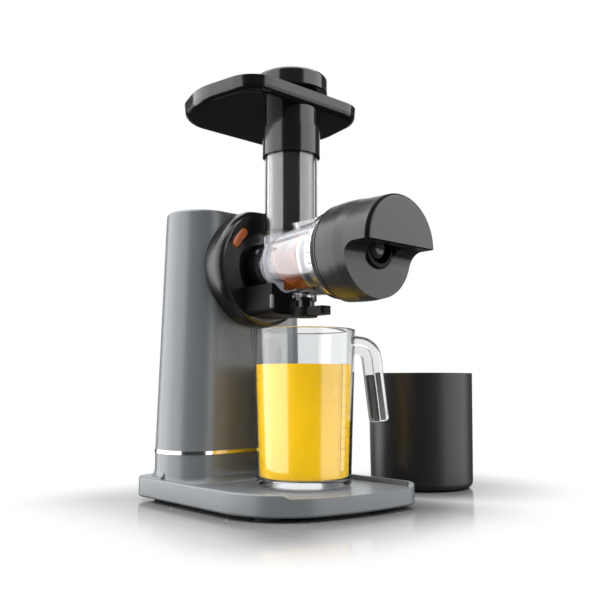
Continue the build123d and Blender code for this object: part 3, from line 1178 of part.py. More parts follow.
makers = {
    "base_shell": lambda: make_base_shell() + make_base_bosses(),
    "base_plate": make_base_plate,
    "feet": make_feet,
    "base_screws": make_base_screws,
    "cord_gland": make_cord_gland,
    "trim_ring": make_trim_ring,
    "tower_shell": make_tower_shell,
    "control_panel": make_control_panel,
    "start_button": lambda: make_button(-1),
    "reverse_button": lambda: make_button(1),
    "start_spring": lambda: make_button_spring(-1),
    "reverse_spring": lambda: make_button_spring(1),
    "switch_board": make_switch_board,
    "control_board": make_control_board,
    "gearbox_front": make_gearbox_front,
    "gearbox_rear": make_gearbox_rear,
    "gearbox_posts": make_gearbox_posts,
    "gearbox_screws": make_gearbox_screws,
    "idler_pins": make_idler_pins,
    "output_gear": make_output_gear,
    "second_gear": lambda: make_cluster_gear(SECOND_TEETH, SECOND_MODULE, SECOND_WIDTH, second_gear_x,
                                             OUTPUT_MODULE, OUTPUT_WIDTH, output_gear_x, second_axis_z),
    "first_gear": lambda: make_cluster_gear(FIRST_TEETH, FIRST_MODULE, FIRST_WIDTH, first_gear_x,
                                            SECOND_MODULE, SECOND_WIDTH, second_gear_x, first_axis_z),
    "motor_pinion": make_motor_pinion,
    "motor_shaft": make_motor_shaft,
    "armature": make_armature,
    "motor_can": make_motor_can,
    "motor_magnets": make_motor_magnets,
    "motor_end": make_motor_end,
    "motor_bearings": make_motor_bearings,
    "drive_shaft": make_drive_shaft,
    "front_bearing": lambda: make_bearing(plate_front_x, TOWER_FRONT_X, BEARING_RADIUS,
                                          SHAFT_RADIUS + RUNNING_GAP, DRUM_Z),
    "rear_bearing": lambda: make_bearing(plate_rear_x, plate_rear_x + 5.0, BEARING_RADIUS,
                                         SHAFT_RADIUS + RUNNING_GAP, DRUM_Z),
    "shaft_seal": make_shaft_seal,
    "bezel": make_bezel,
    "bezel_screws": make_bezel_screws,
    "drive_hub": make_drive_hub,
    "drum_cradle": make_drum_cradle,
    "release_button": make_release_button,
    "release_spring": make_release_spring,
    "juicing_chamber": make_chamber,
    "chamber_seal": make_chamber_seal,
    "auger": make_auger,
    "auger_tip": make_auger_tip,
    "strainer": make_strainer,
    "end_cap": make_end_cap,
    "cap_seal": make_cap_seal,
    "outlet_ring": make_outlet_ring,
    "outlet_nozzle": make_outlet_nozzle,
    "drip_lever": make_drip_lever,
    "hopper": make_hopper,
    "tamper_stem": make_tamper_stem,
    "tamper_cap": make_tamper_cap,
    "jug": make_jug,
    "jug_handle": make_jug_handle,
    "pulp_cup": make_pulp_cup,
}

os.makedirs("parts", exist_ok=True)
for node, maker in makers.items():
    solid = maker()
    export_step(solid, f"parts/{node}.step")
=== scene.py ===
"""Cold press juicer: a finish for every piece, refined pieces, the juice and a plain studio."""

import json
import logging
import math
from collections.abc import Callable, Sequence
from dataclasses import dataclass
from enum import Enum

import bmesh
import bpy
from mathutils import Matrix, Vector

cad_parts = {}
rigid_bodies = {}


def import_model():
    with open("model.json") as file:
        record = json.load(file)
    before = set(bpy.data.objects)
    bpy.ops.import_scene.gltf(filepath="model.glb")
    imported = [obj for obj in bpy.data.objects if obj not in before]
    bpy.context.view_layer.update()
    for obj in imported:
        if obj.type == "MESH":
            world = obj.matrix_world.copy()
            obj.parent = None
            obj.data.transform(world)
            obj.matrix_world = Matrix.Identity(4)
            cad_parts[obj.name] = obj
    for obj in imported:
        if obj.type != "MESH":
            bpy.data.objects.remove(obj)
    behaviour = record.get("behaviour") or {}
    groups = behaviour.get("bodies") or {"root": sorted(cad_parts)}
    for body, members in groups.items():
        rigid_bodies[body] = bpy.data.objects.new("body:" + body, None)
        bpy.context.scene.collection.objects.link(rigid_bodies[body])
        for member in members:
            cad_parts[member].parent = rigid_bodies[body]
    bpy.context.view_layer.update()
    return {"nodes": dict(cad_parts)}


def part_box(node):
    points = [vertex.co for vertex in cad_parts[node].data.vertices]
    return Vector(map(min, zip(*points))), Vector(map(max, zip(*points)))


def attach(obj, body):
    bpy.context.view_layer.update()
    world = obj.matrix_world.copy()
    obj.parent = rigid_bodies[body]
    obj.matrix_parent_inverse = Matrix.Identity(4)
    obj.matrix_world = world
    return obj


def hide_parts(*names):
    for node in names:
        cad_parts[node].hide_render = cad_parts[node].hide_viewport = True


for leftover in list(bpy.data.objects):
    bpy.data.objects.remove(leftover)
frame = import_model()

MM = 0.001
MERGE_DISTANCE = 0.001 * MM
ON_AXIS = 1e-7
MESH_SHARP_ANGLE = 40.0
BAKED_SHARP_ANGLE = 35.0
Pair = tuple[float, float]
Triple = tuple[float, float, float]
Colour = Triple
log = logging.getLogger("juicer")


class Slot(Enum):
    """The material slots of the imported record."""

    SPACE_GREY = "space_grey"
    DARK_PLASTIC = "dark_plastic"
    GLOSS_BLACK = "gloss_black"
    BRIGHT_TRIM = "bright_trim"
    CLEAR_PLASTIC = "clear_plastic"
    AMBER_PLASTIC = "amber_plastic"
    RUBBER = "rubber"
    STEEL = "steel"
    WHITE_PLASTIC = "white_plastic"
    BOARD_GREEN = "board_green"
    MAGNET = "magnet"
    WINDING = "winding"


# ---- node trees ----
def operators(operation: str) -> tuple[Callable[..., "Wire"], Callable[..., "Wire"]]:
    """An operator of a wire and its reflected form, which each add a Math node.

    Args:
        operation: the Math node's operation.

    Returns:
        The operator and its reflected form.
    """
    def straight(self: "Wire", other: "Wire | float") -> "Wire":
        """The wire comes first."""
        return self.graph.maths(operation, self, other)

    def reflected(self: "Wire", other: float) -> "Wire":
        """The number comes first."""
        return self.graph.maths(operation, other, self)

    return straight, reflected


class Wire:
    """The output of a node, which can stand in sums."""

    __add__, __radd__ = operators("ADD")
    __sub__, __rsub__ = operators("SUBTRACT")
    __mul__, __rmul__ = operators("MULTIPLY")
    __truediv__, __rtruediv__ = operators("DIVIDE")
    __pow__, __rpow__ = operators("POWER")

    def __init__(self, graph: "Tree", socket: bpy.types.NodeSocket | None) -> None:
        """Keep the tree that the socket belongs to."""
        self.graph = graph
        self.socket = socket

    def swing(self, amount: float, middle: float = 0.5) -> "Wire":
        """The value's distance from its middle, times an amount."""
        return (self - middle) * amount

    def between(self, low: float, high: float) -> "Wire":
        """Smooth step from 0 at low to 1 at high.

        Args:
            low: value that gives 0.
            high: value that gives 1, which may be the smaller of the two.

        Returns:
            The step as a value from 0 to 1.
        """
        if low > high:
            return 1.0 - self.between(high, low)
        limits = {"Value": self, "From Min": low, "From Max": high}
        return self.graph.node("ShaderNodeMapRange", {"interpolation_type": "SMOOTHSTEP"}, limits)


class Tree:
    """A node tree that nodes are added to."""

    def __init__(self, tree: bpy.types.NodeTree) -> None:
        """Keep the tree."""
        self.tree = tree

    def node(self, kind: str, settings: dict[str, object] | None = None,
             inputs: dict[str | int, object] | None = None, output: str | int = 0) -> Wire:
        """Add one node.

        Args:
            kind: node type.
            settings: properties, which are set first.
            inputs: value, wire or list of wires by input socket.
            output: output socket that is returned.

        Returns:
            The chosen output.
        """
        made = self.tree.nodes.new(kind)
        for key, value in (settings or {}).items():
            setattr(made, key, value)
        for key, value in (inputs or {}).items():
            if isinstance(value, (Wire, list)):
                for wire in value if isinstance(value, list) else [value]:
                    self.tree.links.new(wire.socket, made.inputs[key])
            else:
                made.inputs[key].default_value = value
        return Wire(self, made.outputs[output] if made.outputs else None)

    def maths(self, operation: str, *values: "Wire | float") -> Wire:
        """One Math node."""
        return self.node("ShaderNodeMath", {"operation": operation}, dict(enumerate(values)))

    def vector(self, operation: str, *values: object, output: str = "Vector") -> Wire:
        """One Vector Math node."""
        settings = {"operation": operation}
        return self.node("ShaderNodeVectorMath", settings, dict(enumerate(values)), output)

    def joined(self, *parts: "Wire | float") -> Wire:
        """A vector from its three parts."""
        return self.node("ShaderNodeCombineXYZ", inputs=dict(enumerate(parts)))

    def split(self, place: Wire) -> list[Wire]:
        """The three parts of a vector."""
        return [self.node("ShaderNodeSeparateXYZ", inputs={0: place}, output=axis)
                for axis in "XYZ"]


class Graph(Tree):
    """The node tree of one material or of the world."""

    def __init__(self, owner: bpy.types.Material | bpy.types.World) -> None:
        """Empty the owner's node tree.

        Args:
            owner: material or world that the nodes are for.
        """
        owner.use_nodes = True
        self.owner = owner
        super().__init__(owner.node_tree)
        self.tree.nodes.clear()

    def mix(self, first: "Wire | Colour", second: "Wire | Colour", share: "Wire | float") -> Wire:
        """Blend two colours.

        Args:
            first: colour at a share of 0.
            second: colour at a share of 1.
            share: how much of the second colour there is.

        Returns:
            The blended colour.
        """
        sides = {"Factor": share, 6: solid(first), 7: solid(second)}
        return self.node("ShaderNodeMix", {"data_type": "RGBA"}, sides, 2)

    def places(self, stretch: Triple = (1.0, 1.0, 1.0), turn: Triple = (0.0, 0.0, 0.0)) -> Wire:
        """Object coordinates in metres, stretched and turned.

        Args:
            stretch: factor along each axis.
            turn: turn about each axis, in radians.

        Returns:
            The coordinates.
        """
        return self.node("ShaderNodeMapping", inputs={
            "Vector": self.node("ShaderNodeTexCoord", output="Object"), "Scale": stretch,
            "Rotation": turn})

    def noise(self, size: float, detail: float = 2.0, places: Wire | None = None,
              harsh: float = 0.5) -> Wire:
        """Cloudy noise from 0 to 1.

        Args:
            size: width of one cloud, in metres.
            detail: how many finer layers it has.
            places: coordinates, which are the object's own unless given.
            harsh: strength of the finer layers.

        Returns:
            The noise as a value.
        """
        return self.node("ShaderNodeTexNoise", inputs={
            "Vector": places or self.places(), "Scale": 1.0 / size, "Detail": detail,
            "Roughness": harsh})

    def cells(self, size: float, kind: str = "F1", randomness: float = 1.0) -> Wire:
        """Distance pattern of cells.

        Args:
            size: width of one cell, in metres.
            kind: what the distance is measured to.
            randomness: how far the cells are from a square grid, up to 1.

        Returns:
            The distance as a value, in cells.
        """
        return self.node("ShaderNodeTexVoronoi", {"feature": kind}, {
            "Vector": self.places(), "Scale": 1.0 / size, "Randomness": randomness}, "Distance")

    def bump(self, height: Wire, depth: float) -> Wire:
        """Normal of a relief from 0 to 1 that is so many metres deep."""
        inputs = {"Height": height, "Distance": depth, "Strength": 1.0}
        return self.node("ShaderNodeBump", inputs=inputs)

    def principled(self, **inputs: object) -> Wire:
        """A Principled shader.

        Args:
            inputs: values and wires by socket, named in lower case with underscores.

        Returns:
            The shader.
        """
        named = {key.replace("_", " ").title().replace("Ior", "IOR"): value
                 for key, value in inputs.items()}
        return self.node("ShaderNodeBsdfPrincipled", inputs=named)

    def blend(self, first: Wire, second: Wire, share: "Wire | float") -> Wire:
        """Mix two shaders, with all of the second at a share of 1."""
        return self.node("ShaderNodeMixShader", inputs={0: share, 1: first, 2: second})

    def output(self, surface: Wire) -> None:
        """Join the finished shader to the output node."""
        kind = "World" if isinstance(self.owner, bpy.types.World) else "Material"
        self.node(f"ShaderNodeOutput{kind}", inputs={"Surface": surface})


class Recipe(Tree):
    """A geometry node tree with named inputs, which bakes to a plain mesh."""

    def __init__(self, name: str, sizes: dict[str, float]) -> None:
        """Name the inputs.

        Args:
            name: name of the tree.
            sizes: value of each input, where a whole number makes a counting input.
        """
        super().__init__(bpy.data.node_groups.new(name, "GeometryNodeTree"))
        self.sizes = sizes
        sockets = self.tree.interface
        for way in ("OUTPUT", "INPUT"):
            sockets.new_socket("Geometry", in_out=way, socket_type="NodeSocketGeometry")
        self.known: dict[str, str] = {}
        for label, value in sizes.items():
            kind = "NodeSocketInt" if isinstance(value, int) else "NodeSocketFloat"
            socket = sockets.new_socket(label, in_out="INPUT", socket_type=kind)
            socket.default_value = value
            self.known[label] = socket.identifier
        finish = sockets.new_socket("Finish", in_out="INPUT", socket_type="NodeSocketMaterial")
        self.known["Finish"] = finish.identifier
        self.given = self.tree.nodes.new("NodeGroupInput")

    def size(self, label: str) -> Wire:
        """A named input."""
        return Wire(self, self.given.outputs[label])

    def moved(self, shape: Wire, *offset: "Wire | float") -> Wire:
        """A shape moved by an offset of three parts."""
        inputs = {"Geometry": shape, "Translation": self.joined(*offset)}
        return self.node("GeometryNodeTransform", inputs=inputs)

    def placed(self, shape: Wire, place: Wire) -> Wire:
        """A shape with each of its points put at a place."""
        return self.node("GeometryNodeSetPosition", inputs={"Geometry": shape, "Position": place})

    def together(self, *shapes: Wire) -> Wire:
        """Shapes joined into one."""
        return self.node("GeometryNodeJoinGeometry", inputs={"Geometry": list(shapes)})

    def at_points(self, points: Wire, shape: Wire, **turn: Wire) -> Wire:
        """A shape at each point, where a turn may be its Rotation or its Scale."""
        inputs = {"Points": points, "Instance": shape, **turn}
        return self.node("GeometryNodeInstanceOnPoints", inputs=inputs)

    def around(self, out: Wire, angle: Wire, height: Wire) -> Wire:
        """A place at a distance and an angle from the axis through Middle X and Middle Y."""
        return self.joined(self.size("Middle X") + out * self.maths("COSINE", angle),
                           self.size("Middle Y") + out * self.maths("SINE", angle), height)

    def close(self, instances: Wire) -> None:
        """Make the instances real, give them their finish and end the tree.

        Args:
            instances: what the tree has made.
        """
        real = self.node("GeometryNodeRealizeInstances", inputs={"Geometry": instances})
        done = self.node("GeometryNodeSetMaterial", inputs={
            "Geometry": real, "Material": self.size("Finish")})
        self.node("NodeGroupOutput", inputs={0: done})

    def bake(self, name: str, finish: "Finish", places: Sequence[Triple] = ()) -> bpy.types.Mesh:
        """Run the tree with its sizes and keep the result as a plain mesh.

        Args:
            name: name of the mesh.
            finish: what it is made of.
            places: points that the tree starts from.

        Returns:
            The mesh, smooth except at its sharp edges.
        """
        seed = bpy.data.meshes.new(name)
        seed.from_pydata(places, [], [])
        carrier = bpy.data.objects.new(name, seed)
        bpy.context.scene.collection.objects.link(carrier)
        modifier = carrier.modifiers.new(name, "NODES")
        modifier.node_group = self.tree
        for label, value in {**self.sizes, "Finish": finish.material()}.items():
            modifier[self.known[label]] = value
        ready = carrier.evaluated_get(bpy.context.evaluated_depsgraph_get())
        mesh = bpy.data.meshes.new_from_object(ready)
        bpy.data.objects.remove(carrier)
        mesh.shade_smooth()
        mesh.set_sharp_from_angle(angle=math.radians(BAKED_SHARP_ANGLE))
        return mesh


def solid(colour: "Wire | Colour") -> "Wire | tuple[float, ...]":
    """A colour with its alpha, or the wire as it is."""
    return colour if isinstance(colour, Wire) else (*colour, 1.0)


def shade(colour: Colour, factor: float) -> Colour:
    """A colour made lighter or darker by a factor."""
    return tuple(min(1.0, part * factor) for part in colour)


# ---- finishes ----
@dataclass(frozen=True)
class Finish:
    """What a surface is made of."""

    name: str
    slot: Slot

    def material(self) -> bpy.types.Material:
        """The finish as a material, which is made once.

        Returns:
            The material.
        """
        known = bpy.data.materials.get(self.name)
        if known:
            return known
        material = bpy.data.materials.new(self.name)
        graph = Graph(material)
        graph.output(self.paint(graph))
        return material

    def paint(self, graph: Graph) -> Wire:
        """The shader of this finish."""
        raise NotImplementedError


@dataclass(frozen=True)
class SatinPlastic(Finish):
    """Fine-grained moulded plastic, with a metal fleck where it is painted."""

    colour: Colour
    roughness: float
    grain: float = 0.45 * MM
    relief: float = 0.012 * MM
    metal: float = 0.0
    shine: float = 0.5
    # Places and widths along X of dark lines that paint the shade in grooves.
    shaded_seams: tuple[Pair, ...] = ()
    cloud: float = 45 * MM
    unevenness: float = 0.05
    fleck_fineness: float = 0.6
    fleck_limits: Pair = (0.50, 0.74)
    fleck_tone: float = 1.35
    fleck_share: float = 0.35
    smear: float = 40 * MM
    smear_stretch: Triple = (1.0, 1.0, 0.5)
    grain_harshness: float = 0.6
    sheen_swing: float = 0.08
    seam_limits: Pair = (0.5, 0.3)
    seam_shade_tone: float = 0.15
    seam_roughness: float = 0.8
    seam_shine: float = 0.05

    def paint(self, graph: Graph) -> Wire:
        """Clouded colour with flecks over a fine grain, and faint smears in its sheen.

        Args:
            graph: tree that the nodes are added to.

        Returns:
            The shader, with painted shade in its seams.
        """
        cloud = graph.noise(self.cloud, detail=3.0)
        fleck = graph.noise(self.grain * self.fleck_fineness, detail=1.0)
        smear = graph.noise(self.smear, places=graph.places(self.smear_stretch))
        grain = graph.noise(self.grain, detail=3.0, harsh=self.grain_harshness)
        low, high = (shade(self.colour, 1 + side * self.unevenness) for side in (-1, 1))
        colour = graph.mix(graph.mix(low, high, cloud), shade(self.colour, self.fleck_tone),
                           fleck.between(*self.fleck_limits) * self.fleck_share)
        skin = graph.principled(
            base_color=colour, metallic=self.metal, specular_ior_level=self.shine,
            roughness=(self.roughness + smear.swing(self.sheen_swing)
                       + grain.swing(self.sheen_swing)),
            normal=graph.bump(grain, self.relief))
        return self.with_seam_shade(graph, skin) if self.shaded_seams else skin

    def with_seam_shade(self, graph: Graph, skin: Wire) -> Wire:
        """Dark lines across X, painted shade that stands in for the shade in grooves.

        Args:
            graph: tree that the nodes are added to.
            skin: shader between the grooves.

        Returns:
            The shader with painted shade in its grooves.
        """
        along = graph.split(graph.places())[0]
        shaded_grooves = [graph.maths("ABSOLUTE", along - seam).between(
            *(width * limit for limit in self.seam_limits)) for seam, width in self.shaded_seams]
        # Painted shade: a dark matt layer where shade would fall into a groove.
        dark = graph.principled(base_color=solid(shade(self.colour, self.seam_shade_tone)),
                                roughness=self.seam_roughness, specular_ior_level=self.seam_shine)
        return graph.blend(skin, dark, sum(shaded_grooves))


@dataclass(frozen=True)
class Hairlines:
    """Fine scratches that run one way."""

    width: float
    stretch: Triple
    turn: Triple
    limits: Pair

    def mask(self, graph: Graph) -> Wire:
        """1 in a scratch and 0 beside it."""
        places = graph.places(self.stretch, self.turn)
        return graph.noise(self.width, places=places).between(*self.limits)


@dataclass(frozen=True)
class GlossPlastic(Finish):
    """Polished plastic with a slight orange peel and hairline scratches."""

    colour: Colour
    roughness: float
    ripple: float = 9 * MM
    peel: float = 0.02 * MM
    smear: float = 24 * MM
    smear_harshness: float = 0.65
    smear_swing: float = 0.09
    smear_middle: float = 0.45
    scratches: tuple[Hairlines, ...] = (
        Hairlines(0.9 * MM, (1.0, 0.04, 1.0), (0.3, 0.2, 0.5), (0.66, 0.78)),
        Hairlines(0.8 * MM, (0.05, 1.0, 1.0), (0.1, 0.7, 0.2), (0.68, 0.80)))
    scratch_roughness: float = 0.07
    tones: Pair = (0.85, 1.2)

    def paint(self, graph: Graph) -> Wire:
        """Deep colour, a slow ripple, and scratches and smears that only show in the sheen.

        Args:
            graph: tree that the nodes are added to.

        Returns:
            The shader.
        """
        ripple = graph.noise(self.ripple, detail=1.0)
        smear = graph.noise(self.smear, detail=4.0, harsh=self.smear_harshness)
        scratch = sum(lines.mask(graph) for lines in self.scratches)
        colour = graph.mix(*(shade(self.colour, tone) for tone in self.tones), smear)
        smeared = self.roughness + smear.swing(self.smear_swing, self.smear_middle)
        return graph.principled(
            base_color=colour, roughness=smeared + scratch * self.scratch_roughness,
            normal=graph.bump(ripple, self.peel))


@dataclass(frozen=True)
class ClearPlastic(Finish):
    """Crystal-clear moulded plastic, which lets lamp light through."""

    tint: Colour = (0.955, 0.965, 0.975)
    roughness: float = 0.012
    cloud: float = 7 * MM
    cloudiness: float = 0.02
    ior: float = 1.49
    flow: float = 18 * MM
    flow_stretch: Triple = (1.0, 1.0, 0.25)
    flow_depth: float = 0.012 * MM
    shadow_tone: float = 0.96

    def paint(self, graph: Graph) -> Wire:
        """Clear body with faint flow lines, whose shadow is light.

        Args:
            graph: tree that the nodes are added to.

        Returns:
            The shader.
        """
        flow = graph.noise(self.flow, places=graph.places(self.flow_stretch))
        rough = self.roughness + graph.noise(self.cloud, detail=3.0) * self.cloudiness
        body = graph.principled(base_color=solid(self.tint), roughness=rough, ior=self.ior,
                                transmission_weight=1.0, normal=graph.bump(flow, self.flow_depth))
        tint = solid(shade(self.tint, self.shadow_tone))
        shadow = graph.node("ShaderNodeBsdfTransparent", inputs={"Color": tint})
        passing = graph.node("ShaderNodeLightPath", output="Is Shadow Ray")
        return graph.blend(body, shadow, passing)


@dataclass(frozen=True)
class ChamberPlastic(ClearPlastic):
    """Clear plastic that is frosted at the drum's neck, with a whitish layer over its crown that
    paints the overhead light's reflection.
    """

    # Tint of the neck's real frost, and of the painted reflection over the crown.
    frost_and_reflection_tint: Colour = (0.88, 0.90, 0.97)
    milk_roughness: float = 0.3
    milk_clearness: float = 0.2
    frost: float = 0.5 * MM
    frost_roughness: float = 0.1
    frost_depth: float = 0.004 * MM
    milkiness: float = 0.85
    # Share of the whitish layer over the crown: a painted reflection of the overhead light, not
    # frost.
    painted_reflection_share: float = 0.14
    neck_front: Pair = (-9.0 * MM, -12.0 * MM)
    crown_rear: Pair = (-10.0 * MM, -7.0 * MM)
    crown_foot: Pair = (214.0 * MM, 218.0 * MM)
    tube_foot: Pair = (262.0 * MM, 258.0 * MM)

    def paint(self, graph: Graph) -> Wire:
        """The clear body, with frost behind a plane across X and a painted reflection above one
        across Z.

        Args:
            graph: tree that the nodes are added to.

        Returns:
            The shader, which is clear from the feed tube's foot up.
        """
        clear = super().paint(graph)
        along, _, height = graph.split(graph.places())
        frost = graph.noise(self.frost)
        # One whitish layer: real frost at the neck, painted reflection over the crown.
        frost_and_painted_reflection = graph.principled(
            base_color=solid(self.frost_and_reflection_tint), ior=self.ior, transmission_weight=self.milk_clearness,
            roughness=self.milk_roughness + frost * self.frost_roughness,
            normal=graph.bump(frost, self.frost_depth))
        neck = along.between(*self.neck_front) * self.milkiness
        # Painted reflection: the crown is whitened where the overhead light would reflect.
        painted_crown_reflection = along.between(*self.crown_rear) * height.between(*self.crown_foot) * self.painted_reflection_share
        return graph.blend(clear, frost_and_painted_reflection, (neck + painted_crown_reflection) * height.between(*self.tube_foot))


@dataclass(frozen=True)
class TintedPlastic(Finish):
    """Cloudy see-through plastic such as the amber screw."""

    colour: Colour
    roughness: float
    clearness: float
    ior: float = 1.46
    swirl: float = 16 * MM
    swirl_turn: Triple = (0.4, 0.3, 0.0)
    swirl_harshness: float = 0.6
    swirl_limits: Pair = (0.25, 0.75)
    tones: Pair = (0.78, 1.25)
    grain: float = 0.6 * MM
    grain_swing: float = 0.1
    grain_depth: float = 0.01 * MM
    glow: float = 0.2
    glow_depths: Triple = (4 * MM, 2 * MM, 1 * MM)

    def paint(self, graph: Graph) -> Wire:
        """Swirled colour with a soft glow below the surface.

        Args:
            graph: tree that the nodes are added to.

        Returns:
            The shader.
        """
        swirl = graph.noise(self.swirl, 3.0, graph.places(turn=self.swirl_turn),
                            self.swirl_harshness).between(*self.swirl_limits)
        grain = graph.noise(self.grain)
        colour = graph.mix(*(shade(self.colour, tone) for tone in self.tones), swirl)
        return graph.principled(
            base_color=colour, roughness=self.roughness + grain.swing(self.grain_swing),
            ior=self.ior, transmission_weight=self.clearness, subsurface_weight=self.glow,
            subsurface_radius=self.glow_depths, normal=graph.bump(grain, self.grain_depth))


@dataclass(frozen=True)
class OrangeJuice(Finish):
    """Cloudy orange juice with fine pulp."""

    deep: Colour = (0.92, 0.55, 0.003)
    pale: Colour = (0.96, 0.65, 0.012)
    roughness: float = 0.22
    ior: float = 1.34
    cloud: float = 36 * MM
    cloud_stretch: Triple = (1.0, 1.0, 2.2)
    cloud_harshness: float = 0.55
    cloud_limits: Pair = (0.25, 0.85)
    cloud_share: float = 0.12
    cloud_roughness: float = 0.12
    pulp: float = 1.3 * MM
    pulp_limits: Pair = (0.30, 0.12)
    pulp_share: float = 0.15
    pulp_depth: float = 0.03 * MM
    glow: float = 0.35
    glow_depths: Triple = (6 * MM, 3 * MM, 0.6 * MM)

    def paint(self, graph: Graph) -> Wire:
        """Layers that settle towards the floor, with specks of pulp.

        Args:
            graph: tree that the nodes are added to.

        Returns:
            The shader.
        """
        settled = graph.noise(self.cloud, 3.0, graph.places(self.cloud_stretch),
                              self.cloud_harshness)
        speck = graph.cells(self.pulp).between(*self.pulp_limits)
        paleness = settled.between(*self.cloud_limits) * self.cloud_share
        body = graph.mix(self.deep, self.pale, paleness)
        return graph.principled(
            base_color=graph.mix(body, self.pale, speck * self.pulp_share),
            roughness=self.roughness + settled * self.cloud_roughness, ior=self.ior,
            subsurface_weight=self.glow, subsurface_radius=self.glow_depths,
            normal=graph.bump(speck, self.pulp_depth))


@dataclass(frozen=True)
class Metal(Finish):
    """Turned, brushed or plated metal."""

    colour: Colour
    roughness: float
    brushing: Triple
    brush_depth: float = 0.006 * MM
    brush_width: float = 0.5 * MM
    brush_harshness: float = 0.7
    brush_swing: float = 0.16
    stain: float = 9 * MM
    stain_roughness: float = 0.06
    tones: Pair = (0.86, 1.06)

    def paint(self, graph: Graph) -> Wire:
        """Fine brush lines and a few duller stains.

        Args:
            graph: tree that the nodes are added to.

        Returns:
            The shader.
        """
        lines = graph.noise(self.brush_width, places=graph.places(self.brushing),
                            harsh=self.brush_harshness)
        stain = graph.noise(self.stain, detail=3.0)
        colour = graph.mix(*(shade(self.colour, tone) for tone in self.tones), stain)
        rough = self.roughness + lines.swing(self.brush_swing) + stain * self.stain_roughness
        return graph.principled(base_color=colour, metallic=1.0, roughness=rough,
                                normal=graph.bump(lines, self.brush_depth))


@dataclass(frozen=True)
class SoftRubber(Finish):
    """Matt rubber with a dusty bloom."""

    colour: Colour = (0.018, 0.018, 0.019)
    roughness: float = 0.72
    bloom: float = 8 * MM
    bloom_harshness: float = 0.65
    bloom_limits: Pair = (0.45, 0.8)
    bloom_tone: float = 2.2
    bloom_roughness: float = 0.2
    pore: float = 0.5 * MM
    pore_depth: float = 0.03 * MM

    def paint(self, graph: Graph) -> Wire:
        """Pores and a pale bloom.

        Args:
            graph: tree that the nodes are added to.

        Returns:
            The shader.
        """
        bloom = graph.noise(self.bloom, detail=4.0, harsh=self.bloom_harshness)
        colour = graph.mix(self.colour, shade(self.colour, self.bloom_tone),
                           bloom.between(*self.bloom_limits))
        return graph.principled(
            base_color=colour, roughness=self.roughness + bloom * self.bloom_roughness,
            normal=graph.bump(graph.cells(self.pore), self.pore_depth))


@dataclass(frozen=True)
class CircuitBoard(Finish):
    """Green lacquered board with copper tracks under the lacquer."""

    lacquer: Colour = (0.01, 0.12, 0.05)
    track: Colour = (0.03, 0.22, 0.09)
    roughness: float = 0.32
    pitch: float = 3.2 * MM
    straggle: float = 0.35
    track_limits: Pair = (0.10, 0.06)
    cloth: float = 0.4 * MM
    cloth_share: float = 0.2
    cloth_roughness: float = 0.1
    relief: float = 0.03 * MM

    def paint(self, graph: Graph) -> Wire:
        """Square-cornered tracks and glass cloth below the lacquer.

        Args:
            graph: tree that the nodes are added to.

        Returns:
            The shader.
        """
        edges = graph.cells(self.pitch, "DISTANCE_TO_EDGE", self.straggle)
        line = edges.between(*self.track_limits)
        cloth = graph.noise(self.cloth, detail=1.0)
        height = line * (1.0 - self.cloth_share) + cloth * self.cloth_share
        return graph.principled(base_color=graph.mix(self.lacquer, self.track, line),
                                roughness=self.roughness + cloth * self.cloth_roughness,
                                normal=graph.bump(height, self.relief))


@dataclass(frozen=True)
class CopperWire(Finish):
    """Enamelled wire wound side by side."""

    colour: Colour = (0.72, 0.27, 0.10)
    metal: float = 0.85
    roughness: float = 0.28
    wire: float = 0.6 * MM
    unscaled_row: float = 0.3
    wander: float = 0.6
    dark_tone: float = 0.5
    row_share: float = 0.6
    patch: float = 2 * MM
    patch_roughness: float = 0.12
    relief: float = 0.12 * MM

    def paint(self, graph: Graph) -> Wire:
        """Rows of wire that run along the coil, each a little lighter or darker.

        Args:
            graph: tree that the nodes are added to.

        Returns:
            The shader.
        """
        settings = {"wave_type": "BANDS", "bands_direction": "DIAGONAL"}
        rows = graph.node("ShaderNodeTexWave", settings, {
            "Vector": graph.places(), "Scale": self.unscaled_row / self.wire,
            "Distortion": self.wander}, 1)
        uneven = graph.noise(self.patch)
        colour = graph.mix(shade(self.colour, self.dark_tone), self.colour,
                           rows * self.row_share + uneven * (1.0 - self.row_share))
        return graph.principled(base_color=colour, metallic=self.metal,
                                roughness=self.roughness + uneven * self.patch_roughness,
                                normal=graph.bump(rows, self.relief))


SPACE_GREY = SatinPlastic("space_grey_satin", Slot.SPACE_GREY, (0.146, 0.157, 0.166), 0.29,
                          metal=0.05, shine=0.6)
INNER_GREY = SatinPlastic("moulded_dark_grey", Slot.DARK_PLASTIC, (0.045, 0.046, 0.049), 0.48,
                          0.8 * MM, 0.03 * MM)
# The cap's two dark lines across X are painted shade in its grooves.
CAP_GREY = SatinPlastic("satin_cap_grey", Slot.DARK_PLASTIC, (0.018, 0.018, 0.0185), 0.30,
                        0.4 * MM, 0.006 * MM, shine=0.44,
                        shaded_seams=((80.9 * MM, 1.6 * MM), (140.9 * MM, 4.4 * MM)))
BEZEL_BLACK = SatinPlastic("satin_bezel_black", Slot.GLOSS_BLACK, (0.011, 0.011, 0.0115), 0.22,
                           0.4 * MM, 0.004 * MM)
MATT_BLACK = SatinPlastic("matt_black", Slot.GLOSS_BLACK, (0.006, 0.006, 0.0065), 0.42,
                          0.5 * MM, 0.012 * MM, shine=0.1)
TIP_GREY = SatinPlastic("moulded_tip_grey", Slot.STEEL, (0.06, 0.06, 0.062), 0.16,
                        0.5 * MM, 0.01 * MM)
CUP_BLACK = SatinPlastic("satin_cup_black", Slot.DARK_PLASTIC, (0.017, 0.017, 0.018), 0.36,
                         0.4 * MM, 0.006 * MM, shine=0.45)
